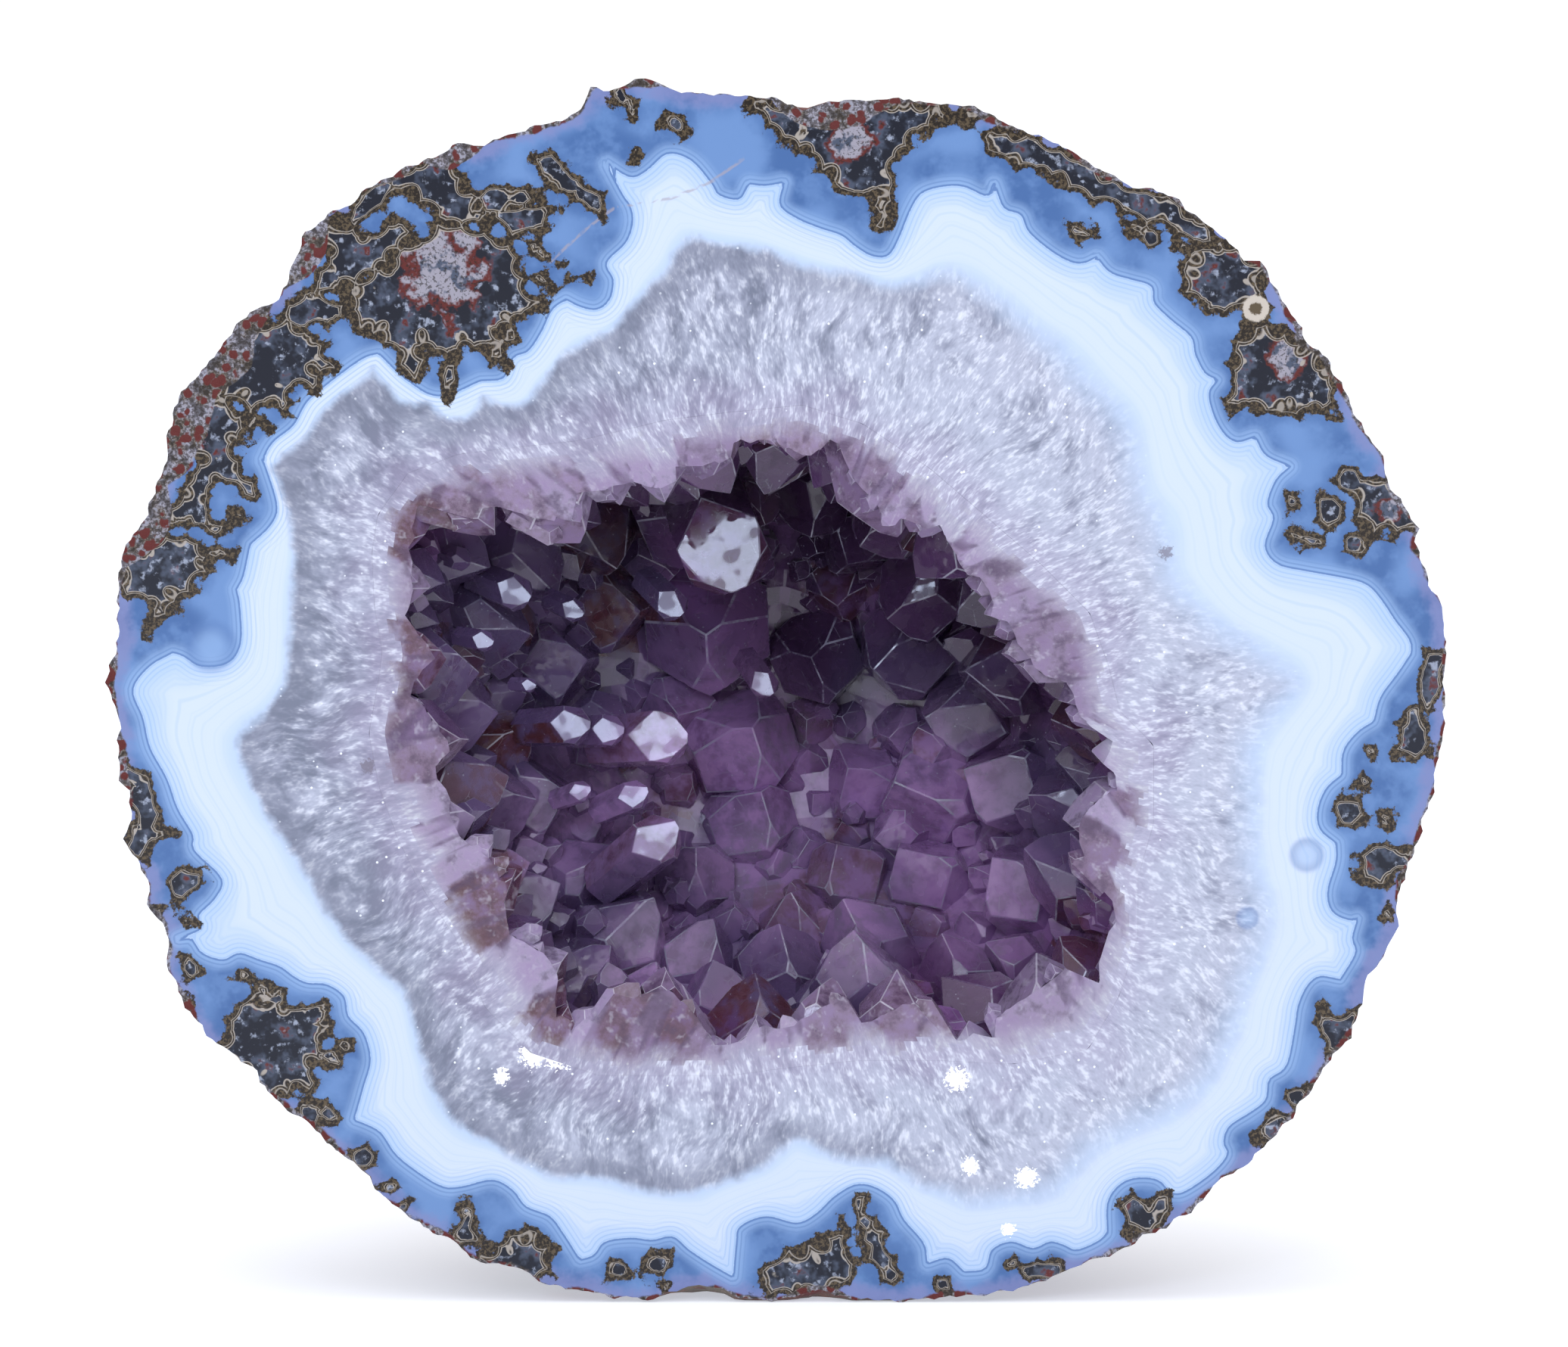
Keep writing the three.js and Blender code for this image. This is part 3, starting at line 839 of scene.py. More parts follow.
        spikes = p.scaled(p.cells(1.7), -2.1, 0.72)
        near = p.plus(mark, spikes)
        hair = p.scaled(p.sum("SUBTRACT", p.grain(0.4, 3.0, 0.75), 0.5), 1.5, near)
        body = p.lay(body, self.inclusion(p, cloud, tiny, near), hair, 0.05, -0.15)
        halo = p.scaled(loose, 0.2, self.spots(p, self.ring))
        body = p.lay(body, p.lay(self.shell, self.moss, halo, 0.55, 0.4), halo, 1.05, 0.9)

        beads = p.cells(1.1)
        thick = p.scaled(soft, -2.6, rim)
        thick = p.scaled(p.value("patch"), -4.5, thick)
        thick = p.scaled(cloud, 1.2, thick)
        rind = p.lay(self.khaki, self.sugar, cloud, 0.42, 0.60)
        rind = p.lay(rind, self.moss_dark, tiny, 0.56, 0.44, 0.7)
        rind = p.lay(rind, self.frost, tiny, 0.54, 0.66, 0.5)
        clumps = p.scaled(p.sum("SUBTRACT", cloud, 0.5), 1.6, beads)
        rind = p.lay(rind, self.bead, clumps, 0.46, 0.34)
        rind = p.lay(rind, self.moss_dark, beads, 0.62, 0.74, 0.7)
        edge = p.step(thick, -0.30, -0.55)
        body = p.mix(edge, body, rind)

        rough_stone = p.scaled(beads, -1.2, tiny)
        rise = p.times(edge, 0.5)
        bump = p.bump(rough_stone, 0.4, rise)
        rough = p.step(edge, 0.0, 1.0, self.roughness, 0.65)
        look = {"Base_Color": body, "Roughness": rough, "Specular_IOR_Level": self.gloss}
        return p.finish(IOR=1.54, Normal=bump, **look)


@dataclass(frozen=True)
class WeatheredRind:
    """Natural outer skin: dull, granular, dark red grains in khaki-grey with dusty pink high spots."""

    grain: str = "#5C2C2A"
    khaki: str = "#6A6257"
    dust: str = "#A58A80"
    rust: str = "#8A4330"

    def make(self) -> bpy.types.Material:
        """Builds the material for the back and sides.

        Returns:
            The material.
        """
        p = Paint("weathered_rind")
        soft, cloud, tiny = p.grain(16.0, 3.0, 0.6), p.grain(3.0, 4.0, 0.65), p.grain(0.5, 3.0, 0.7)
        beads = p.cells(1.6)
        colour = p.lay(self.khaki, self.grain, soft, 0.4, 0.62)
        colour = p.lay(colour, self.grain, beads, 0.5, 0.25, 0.55)
        colour = p.lay(colour, self.rust, cloud, 0.52, 0.7, 0.6)
        colour = p.lay(colour, self.dust, tiny, 0.55, 0.72, 0.5)
        lumps = p.plus(p.times(beads, -0.6), p.times(tiny, 0.5))
        return p.finish(Base_Color=colour, Roughness=0.82, IOR=1.5, Normal=p.bump(lumps, 0.6, 0.8))


@dataclass(frozen=True)
class HollowQuartz:
    """Quartz that the points grow from, seen only through them: milky at the mouth, painted dark further in
    as the shade inside the hollow.
    """

    mouth: str = "#C9C2D6"
    # Painted shade: the wall's colour deep in the hollow.
    deep: str = "#2E2338"

    def make(self) -> bpy.types.Material:
        """Builds the material for the hollow's wall.

        Returns:
            The material.
        """
        p = Paint("hollow_quartz")
        y = p.axis(1)
        # Painted shade: the wall turns dark from 3 to 11 mm behind the sawn face.
        inwards = p.step(y, (FRONT + 3.0) * MM, (FRONT + 11.0) * MM)
        cloud = p.grain(2.5, 3.0, 0.6)
        colour = p.mix(p.scaled(cloud, 0.2, inwards), self.mouth, self.deep)
        return p.finish(Base_Color=colour, Roughness=0.4, IOR=1.54, Normal=p.bump(cloud, 0.5, 0.4))


@dataclass(frozen=True)
class MilkyQuartz:
    """Root of the sawn points: the same fibrous milky quartz as the stone's, polished with it."""

    quartz: QuartzBody = QuartzBody()

    def make(self) -> bpy.types.Material:
        """Builds the material for the roots of the rim."""
        p = Paint("milky_quartz")
        return p.finish(Base_Color=self.quartz.colour(p, p.value("out_mm")), Roughness=0.12, IOR=1.544)


@dataclass(frozen=True)
class PaleAmethyst:
    """Sawn amethyst points: cloudy clear quartz, milky at the root and lilac or smoky towards the tip."""

    lilac: str = "#AE98BE"
    mauve: str = "#70507E"
    smoke: str = "#6A3C2E"
    cloud: str = "#543C60"
    edge: str = "#DAD5E4"
    quartz: QuartzBody = QuartzBody("#9297AD", "#B4B8CC", "#CFD3E2", "#EDEFF6", "#BDB0CC")
    transmission: float = 0.36
    absorption: str = "#B9A2CC"
    density: float = 60.0

    def make(self) -> bpy.types.Material:
        """Builds the material for the points that the saw has cut.

        Returns:
            The material.
        """
        p = Paint("pale_amethyst")
        cloud, fine, wide = p.grain(2.2, 4.0, 0.65), p.grain(0.6, 3.0, 0.7), p.grain(5.0, 2.0, 0.5)
        tint, warm = p.value("tint"), p.value("warm")
        root = p.scaled(cloud, 2.0, p.value("root_mm"))
        milk = self.quartz.colour(p, p.value("out_mm"))
        found = p.lay(self.lilac, self.quartz.violet, cloud, 0.35, 0.65)
        found = p.mix(p.times(tint, p.step(wide, 0.3, 0.6, 0.7, 1.0)), found, self.mauve)
        found = p.mix(p.times(warm, p.step(cloud, 0.30, 0.66)), found, self.smoke)
        smudge = p.times(p.step(cloud, 0.44, 0.68), p.step(root, 2.0, 5.0))
        found = p.mix(p.times(smudge, 0.75), found, self.cloud)
        veil = self.quartz.fibres(p, 1.1, 1.3, 0.1)
        found = p.lay(found, self.edge, veil, 0.54, 0.74, 0.4)
        colour = p.lay(milk, found, root, 0.9, 3.8)
        joint = p.times(p.step(p.value("border"), 0.12, 0.02), p.step(root, 1.5, 3.5, 0.0, 0.6))
        colour = p.mix(joint, colour, self.cloud)
        # Painted highlight: pale strips along the crystals' edges.
        colour = p.mix(p.times(p.value("edge"), 0.6), colour, self.edge)
        p.absorb(self.absorption, self.density)
        look = {"Base_Color": colour, "Roughness": p.step(fine, 0.35, 0.75, 0.05, 0.18)}
        look |= {"Transmission_Weight": self.transmission, "Normal": p.bump(fine, 0.12, 0.3)}
        return p.finish(IOR=1.544, **look)


@dataclass(frozen=True)
class Amethyst:
    """Natural amethyst points: clear quartz, violet to slate and smoky, glass-clear faces, edges painted pale
    as a highlight, and spots of painted light, shade and reflection.
    """

    violet: str = "#A878B8"
    dusk: str = "#66426E"
    slate: str = "#6C6488"
    smoke: str = "#6E3626"
    # Painted light: the lilac of points where light falls in the lower hollow.
    lilac: str = "#D2A4E0"
    # Painted shade: the colour of points in the dark upper hollow.
    painted_shade: str = "#2A1D36"
    # Pale colour of veils and specks, and of the painted highlight along the edges.
    edge: str = "#C6C4D8"
    # Pale frosting, also a painted reflection of light on facets.
    frost: str = "#AFA0B6"
    transmission: float = 0.5
    absorption: str = "#B482C6"
    density: float = 85.0

    def make(self) -> bpy.types.Material:
        """Builds the material for the crust of points.

        Returns:
            The material.
        """
        p = Paint("amethyst")
        cloud, wide = p.grain(2.4, 3.0, 0.65), p.grain(8.0, 1.0, 0.5)
        colour = p.mix(p.value("tint"), self.dusk, self.violet)
        grey = p.times(p.step(p.plus(wide, p.value("slate")), 0.5, 1.0), 0.65)
        colour = p.mix(grey, colour, self.slate)
        colour = p.lay(colour, self.dusk, cloud, 0.52, 0.66, 0.5)
        colour = p.mix(p.times(p.value("warm"), p.step(cloud, 0.34, 0.58)), colour, self.smoke)
        # Painted light: points in the lower hollow painted lighter and lilac, where light falls.
        glow = p.times(p.value("glow"), p.step(cloud, 0.62, 0.38, 0.35, 1.0))
        colour = p.mix(glow, colour, self.lilac)
        # Frosted spots: partly the points' frosting, partly a painted reflection of light on their facets.
        frost = p.times(p.value("frost"), p.step(cloud, 0.42, 0.60))
        colour = p.mix(p.times(frost, 0.8), colour, self.frost)
        # Painted shade: points in the upper hollow painted dark.
        colour = p.mix(p.times(p.value("painted_shade"), 0.8), colour, self.painted_shade)
        veil = p.step(p.cells(2.8, "DISTANCE_TO_EDGE"), 0.03, 0.0)
        veil = p.times(veil, p.step(cloud, 0.50, 0.68, 0.0, 0.35))
        colour = p.mix(veil, colour, self.edge)
        specks = p.step(p.cells(0.9), 0.13, 0.08)
        colour = p.mix(p.times(specks, p.step(wide, 0.45, 0.6, 0.1, 0.7)), colour, self.edge)
        # Painted highlight: pale strips along the crystals' edges, where edges catch the light.
        edge_strips = p.times(p.value("edge"), p.step(cloud, 0.40, 0.62, 0.1, 0.8))
        colour = p.mix(edge_strips, colour, self.edge)
        steps = p.grain(2.0, 1.0, 0.5)
        heights = p.scaled(p.grain(0.9, 0.0, 0.5), 0.6, p.sum("SNAP", steps, 0.08))
        p.absorb(self.absorption, self.density)
        look = {"Base_Color": colour, "Roughness": p.step(steps, 0.44, 0.62, 0.05, 0.32)}
        look |= {"Transmission_Weight": self.transmission, "Normal": p.bump(heights, 0.08, 0.4)}
        return p.finish(IOR=1.544, **look)


# The stone.


@dataclass
class Stone:
    """The body of the nodule: polished face, rind and the wall of the hollow, one closed mesh."""

    columns: int = 720
    fine_step: float = 0.36
    fine_rings: int = 47
    coarse_rings: int = 15
    dome_rings: int = 78
    hollow_rings: int = 22
    beads: float = 0.45  # depth between the beads of the rind, in mm
    dents: float = 3.4  # depth of the dents of the back
    belly: float = 6.5  # how far the underside bulges behind the face
    mark_reach: float = 4.0  # how far from an inclusion its distance is told
    thick_rind: str = "250,560 8|300,470 7|200,690 5|1100,140 6|400,330 4|600,200 3"
    embers: str = "587,357 5.5|1697,473 2.8|1124,187 2.6|1833,676 1.6|240,590 3"

    def angles(self, columns: int) -> np.ndarray:
        """Directions around the axis, falling from point to point."""
        return -np.arange(columns) * FULL / columns

    def dome(self, edge: np.ndarray, columns: int) -> list[np.ndarray]:
        """Rings of the rind from just behind the face to the back.

        Args:
            edge: reach of the face's edge for each of the columns.
            columns: points in a ring.

        Returns:
            The rings, in mm.
        """
        angles = self.angles(columns)
        outline = curve(EDGE)
        even = np.zeros(columns)
        for k in range(-6, 7):
            even += (7 - abs(k)) * reach(outline, angles + k * 0.09) / 49
        down = np.maximum(0, -np.sin(angles)) ** 3
        rings = []
        for i in range(1, self.dome_rings):
            turn = i / self.dome_rings
            t = turn * math.pi / 2
            r = (even + (edge - even) * math.exp(-9 * turn)) * math.cos(t) ** (0.8 - 0.5 * down)
            r = r + self.belly * down * math.sin(2 * t) ** 0.8
            p = around(r, angles, FRONT + DEPTH * math.sin(t))
            out = p - np.array([0, FRONT, CENTRE_Z])
            out[:, 1] *= 0.9
            out /= np.linalg.norm(out, axis=1)[:, None]
            p = p + out * (self.dents * dent(p) * min(1, turn * 7))[:, None]
            p = p + out * (self.grains(p) * min(1, turn * 14))[:, None]
            rings.append(p)
        pole = np.array([[0.0, FRONT + DEPTH, CENTRE_Z]])
        pole += np.array([[0.0, 1.0, 0.0]]) * self.dents * dent(pole)[0]
        rings.append(pole)
        back = max(r[:, 1].max() for r in rings)
        for r in rings:
            r[:, 1] = FRONT + (r[:, 1] - FRONT) * DEPTH / (back - FRONT)
            r[:, 2] = np.maximum(0, r[:, 2])
        return rings

    def ragged(self, edge: np.ndarray, angles: np.ndarray) -> np.ndarray:
        """The reach of the edge with the grains of the rind along it.

        Args:
            edge: reach of the smooth edge for each angle.
            angles: directions around the axis.

        Returns:
            The new reach for each angle, in mm.
        """
        found = []
        for r, a in zip(edge, angles):
            at = Vector((r * math.cos(a), r * math.sin(a), 0.0))
            near = noise.voronoi(at * 0.75)[0][0]
            found.append(r + 0.25 - 0.75 * min(near, 0.8) + 0.25 * noise.noise(at * 0.5))
        return np.array(found)

    def grains(self, p: np.ndarray) -> np.ndarray:
        """Beads and pits of the rind, in mm, never above the smooth surface.

        Args:
            p: points in mm.

        Returns:
            One height for each point.
        """
        found = np.empty(len(p))
        for i, (x, y, z) in enumerate(p):
            at = Vector((x, y, z))
            near = noise.voronoi(at * 0.42)[0][0]
            pit = noise.noise(at * 0.11) + 0.5 * noise.noise(at * 0.3)
            found[i] = -self.beads * min(near * 1.3, 1.0) - 0.9 * max(0.0, pit - 0.1)
        return found

    def build(self) -> bpy.types.Object:
        """Builds the closed mesh with its attributes and materials.

        Returns:
            The stone.
        """
        n = self.columns
        angles = self.angles(n)
        outline, roots = curve(EDGE), curve(ROOTS, 1)
        edge, root = self.ragged(reach(outline, angles), angles), reach(roots, angles)
        rings: list[np.ndarray] = []
        zones: list[Zone] = []

        def flat(r: np.ndarray) -> np.ndarray:
            """A ring on the sawn face."""
            return around(r, angles, FRONT)

        half, quarter = self.angles(n // 2), self.angles(n // 4)
        hollow = [wall(quarter, k / self.hollow_rings, 0.0, root[::4]) for k in range(1, self.hollow_rings)]
        hollow.append(np.array([[0.0, FRONT + HOLLOW_DEPTH, CENTRE_Z]]))
        bridge = wall(half, 0.5 / self.hollow_rings, 0.0, root[::2])
        rings += hollow[::-1] + [bridge]
        zones += [Zone.HOLLOW] * (len(rings))
        inner = edge - self.fine_step * self.fine_rings
        for k in range(self.coarse_rings):
            rings.append(flat(root + (inner - root) * k / self.coarse_rings))
        for k in range(self.fine_rings, -1, -1):
            rings.append(flat(edge - self.fine_step * k))
        zones += [Zone.POLISHED] * (self.coarse_rings + self.fine_rings)
        zones += [Zone.RIND] * self.dome_rings
        rings += self.dome(edge[::2], n // 2)
        starts = np.cumsum([0] + [len(r) for r in rings])
        faces: list[tuple[int, ...]] = []
        slots: list[int] = []
        for k in range(len(rings) - 1):
            made = band(int(starts[k]), len(rings[k]), int(starts[k + 1]), len(rings[k + 1]))
            faces += made
            slots += [zones[k].value] * len(made)
        points = np.concatenate(rings)
        stone = mesh_object("agate_stone", points, faces)
        data = stone.data
        for material in (PolishedAgate().make(), WeatheredRind().make(), HollowQuartz().make()):
            data.materials.append(material)
        data.polygons.foreach_set("material_index", slots)
        data.polygons.foreach_set("use_smooth", np.array(slots) != Zone.POLISHED.value)
        self.dress(data, points, outline, roots)
        data.update()
        return stone

    def dress(
        self, data: bpy.types.Mesh, points: np.ndarray, outline: np.ndarray, roots: np.ndarray
    ) -> None:
        """Stores on the points how far each lies from the outlines, in mm.

        Args:
            data: the stone's mesh.
            points: its points in mm.
            outline: edge of the sawn face.
            roots: mouth of the hollow.
        """
        on_face = np.abs(points[:, 1] - FRONT) < 1e-6
        flat = points[on_face][:, [0, 2]]
        columns = {
            "rim_mm": -signed_distance(flat, outline),
            "agate_mm": signed_distance(flat, curve(AGATE)),
            "quartz_mm": signed_distance(flat, curve(QUARTZ)),
            "root_mm": signed_distance(flat, roots),
        }
        near = np.full(len(flat), self.mark_reach)
        for shape in marks():
            low, high = shape.min(0) - self.mark_reach, shape.max(0) + self.mark_reach
            here = ((flat > low) & (flat < high)).all(1)
            if here.any():
                found = signed_distance(flat[here], shape)
                deepest = max(0.4, -float(found.min()))
                found = np.where(found < 0, found * min(3.0, max(1.0, 2.4 / deepest)), found)
                near[here] = np.minimum(near[here], found)
        columns["mark_mm"] = near
        path, _ = read(VEIN)
        thread = np.concatenate([path, path[::-1]])
        columns["vein_mm"] = np.abs(signed_distance(flat, thread))
        columns["patch"] = self.spots(flat, self.thick_rind)
        columns["ember"] = self.spots(flat, self.embers)
        for name, values in columns.items():
            full = np.zeros(len(points), np.float32)
            full[on_face] = values
            data.attributes.new(name, "FLOAT", "POINT").data.foreach_set("value", full)

    def spots(self, flat: np.ndarray, words: str) -> np.ndarray:
        """A value that is 1 in the middle of some spots and falls to 0 at their edge.

        Args:
            flat: (x, z) rows in mm.
            words: the spots as column,row and radius in mm.

        Returns:
            One value for each point.
        """
        found = np.zeros(len(flat))
        for spot in entries(words):
            place, radius = spot.split()
            centre, _ = read(place)
            share = np.linalg.norm(flat - centre, axis=1) / float(radius)
            found = np.maximum(found, np.clip(1 - share, 0, 1))
        return found


# The crust of points.


@dataclass(frozen=True)
class View:
    """Where the photograph was taken from, and where its key light stood."""

    distance: float = 750.0  # camera to the sawn face
    rise: float = math.radians(4.5)
    column: float = 1036.0  # middle of the picture
    row: float = 890.0
    light: tuple[float, float, float] = (-264.0, -1100.0, 516.0)

    def target(self) -> np.ndarray:
        """The place on the sawn face in the middle of the picture, in mm."""
        return np.array([(self.column - OUTLINE_X) * UNIT, FRONT, (OUTLINE_Z - self.row) * UNIT])

    def camera(self) -> np.ndarray:
        """Where the camera is, in mm."""
        back = np.array([0.0, -math.cos(self.rise), math.sin(self.rise)])
        return self.target() + back * self.distance

    def sight(self, column: float, row: float, depth: float) -> np.ndarray:
        """The point at a depth behind the sawn face that shows at a place of the outlines, in mm.

        Args:
            column: column of the outlines.
            row: row of the outlines.
            depth: depth in mm.

        Returns:
            The point.
        """
        face = np.array([(column - OUTLINE_X) * UNIT, FRONT, (OUTLINE_Z - row) * UNIT])
        eye = self.camera()
        return eye + (face - eye) * (FRONT + depth - eye[1]) / (FRONT - eye[1])

    def mirror(self, place: np.ndarray) -> np.ndarray:
        """The direction a facet looks in when it shows the key light to the camera.

        Args:
            place: the facet's place in mm.

        Returns:
            The direction, at a length of 1.
        """
        to_eye, to_light = self.camera() - place, np.array(self.light) - place
        half = to_eye / np.linalg.norm(to_eye) + to_light / np.linalg.norm(to_light)
        return half / np.linalg.norm(half)


# Crystals cut by the saw: root, tip, width across, then how violet and how smoky each is.
CUT = """495,690 573,690 90 .7 1|575,600 655,710 90 .3 .6|690,590 768,722 130 .2 .4|790,580 815,676 95 .1 0
868,570 880,668 60 0 0|940,545 925,637 90 .4 .1|1005,540 1008,594 60 .1 .6|1060,535 1058,617 85 .2 .5
1150,560 1190,720 130 .5 .3|1250,640 1262,714 55 0 0|1380,730 1262,775 150 .3 .2|1440,810 1330,878 110 .5 .2
1470,900 1400,935 75 .4 0|1525,1000 1440,1000 85 0 0|1525,1085 1397,1090 105 .6 .4|1515,1170 1453,1178 50 .1 0
1510,1270 1443,1285 100 .3 0|1400,1410 1370,1256 150 .2 .1|1290,1420 1286,1350 65 .2 0
1190,1410 1190,1288 115 .6 .5|1085,1412 1100,1296 95 .5 .4|1000,1425 1000,1345 60 .2 0
865,1430 880,1296 155 .6 .3|720,1400 745,1322 75 .8 1|655,1330 755,1262 90 0 0|590,1215 690,1150 100 .8 1
515,1090 635,1082 105 0 .1|482,975 627,982 110 .5 .5|500,870 595,872 90 .7 .9|490,775 572,775 80 .2 .2"""

LARGE = """969,1040 6.4|985,1150 5.2|1159,1092 4.6|1270,1095 6.2|925,850 7.4|958,735 5.0|1129,1225 4.4
1254,1221 4.6|881,975 4.2|760,1010 4.6|1090,900 5.4|1230,880 5.6|770,830 4.8"""

# Facets that shine: where each shows, its crystal's radius in mm and its depth behind the sawn face.
SHINE = """958,735 5.0 12|888,799 1.8 15|881,972 3.0 16|869,1106 2.9 16|682,782 2.0 14|640,846 1.2 11
759,806 1.3 18|806,964 1.8 17|757,957 2.2 16|839,1049 1.7 17|768,1045 1.2 18|1129,1236 1.3 18
1458,1145 1.1 6|700,905 .8 15|1010,905 1.6 20"""

# Spots where the points are frosted with a painted reflection, painted lighter and lilac as light, look
# slate-grey, or are painted dark as shade: place and radius in mm.
FROST_AND_SHEEN = "1040,1010 5|1000,1180 6|960,960 3|1129,1225 5|760,1330 4|870,660 4|1350,1290 4"
PAINTED_LIGHT_SPOTS = "955,1040 13|1000,1160 9|1230,1080 11|1270,1160 8|760,1110 8|1130,1240 6|860,1290 6|1310,1230 7"
SLATE = "700,880 17|840,1200 14|700,1050 12|1080,1250 12|1400,1100 8|1200,960 9"
PAINTED_SHADE_SPOTS = "1100,720 17|1250,840 13|800,700 9|1350,950 8|1000,640 10|1080,900 10"


@dataclass
class Point:
    """One crystal: its root, axis, radius and length in mm, its spin, its form and its colour."""

    root: np.ndarray
    axis: np.ndarray
    radius: float
    length: float
    spin: float
    form: int
    tint: float = 0.5
    warm: float = 0.0
    milk: float = 0.0  # length of the milky root beyond the usual, in mm

    def along(self) -> np.ndarray:
        """The axis at a length of 1."""
        return self.axis / np.linalg.norm(self.axis)

    def tip(self) -> np.ndarray:
        """The place of the tip, in mm."""
        return self.root + self.along() * self.length

    def turned(self) -> Matrix:
        """The rotation from the form's own axes to the crystal's."""
        return Vector(self.axis).to_track_quat("Z", "Y").to_matrix() @ Matrix.Rotation(self.spin, 3, "Z")


@dataclass
class CrystalForms:
    """Six-sided points with flat end faces of unequal size, as quartz grows, in a few variants."""

    variants: int = 10
    slope: float = math.radians(51.8)  # of the end faces
    bevel: float = 0.02
    seed: int = 11

    def build(self) -> bpy.types.Collection:
        """Builds the variants, 1 mm in radius with their tips at the origin, in a collection of their own.

        Returns:
            The collection.
        """
        draw = stream(self.seed)
        group = bpy.data.collections.new("crystal_forms")
        for k in range(self.variants):
            b = bmesh.new()
            place = Matrix.Translation((0, 0, -3.0))
            prism = {"segments": 6, "radius1": 0.9, "radius2": 1.0, "depth": 8.0}
            bmesh.ops.create_cone(b, cap_ends=True, matrix=place, **prism)
            for side in range(6):
                a = side * math.pi / 3 + math.pi / 6
                flat, up = math.sin(self.slope), math.cos(self.slope)
                normal = Vector((math.cos(a) * flat, math.sin(a) * flat, up))
                minor = side % 2 == 1
                off = 0.22 * draw() if minor else -0.14 + 0.18 * draw()
                if k < 2 and side == 0:
                    off = -0.3 if k == 0 else -0.08
                elif k < 2:
                    off = 0.12 if k == 0 else 0.05 + 0.3 * draw()
                self.cut(b, normal * off, normal)
            low = min(v.co.z for v in b.verts)
            for v in b.verts:
                if v.co.z < low + 1e-4:
                    v.co.z = -4.0
            bmesh.ops.remove_doubles(b, verts=b.verts, dist=0.03)
            self.bevel_edges(b)
            data = bpy.data.meshes.new(f"form_{k:02d}")
            b.to_mesh(data)
            b.free()
            group.objects.link(bpy.data.objects.new(f"form_{k:02d}", data))
        return group

    def cut(self, b: bmesh.types.BMesh, at: Vector, normal: Vector) -> None:
        """Takes away what lies in front of a plane and closes the cut.

        Args:
            b: the form.
            at: a point of the plane.
            normal: the plane's normal, towards what goes.
        """
        found = bmesh.ops.bisect_plane(
            b, geom=b.verts[:] + b.edges[:] + b.faces[:], plane_co=at, plane_no=normal, clear_outer=True
        )
        rim = [e for e in found["geom_cut"] if isinstance(e, bmesh.types.BMEdge)]
        if len(rim) > 2:
            bmesh.ops.contextual_create(b, geom=rim)

    def bevel_edges(self, b: bmesh.types.BMesh) -> None:
        """Rubs the edges a little and marks the strips, which the materials paint pale as a highlight.

        Args:
            b: the form.
        """
        edge = b.faces.layers.float.new("edge")
        edge_strips = bmesh.ops.bevel(
            b,
            geom=[e for e in b.edges if all(v.co.z > -3.9 for v in e.verts)],
            offset=self.bevel,
            segments=1,
            affect="EDGES",
            clamp_overlap=True,
        )
        for face in edge_strips["faces"]:
            face[edge] = 1.0
        bmesh.ops.recalc_face_normals(b, faces=b.faces)


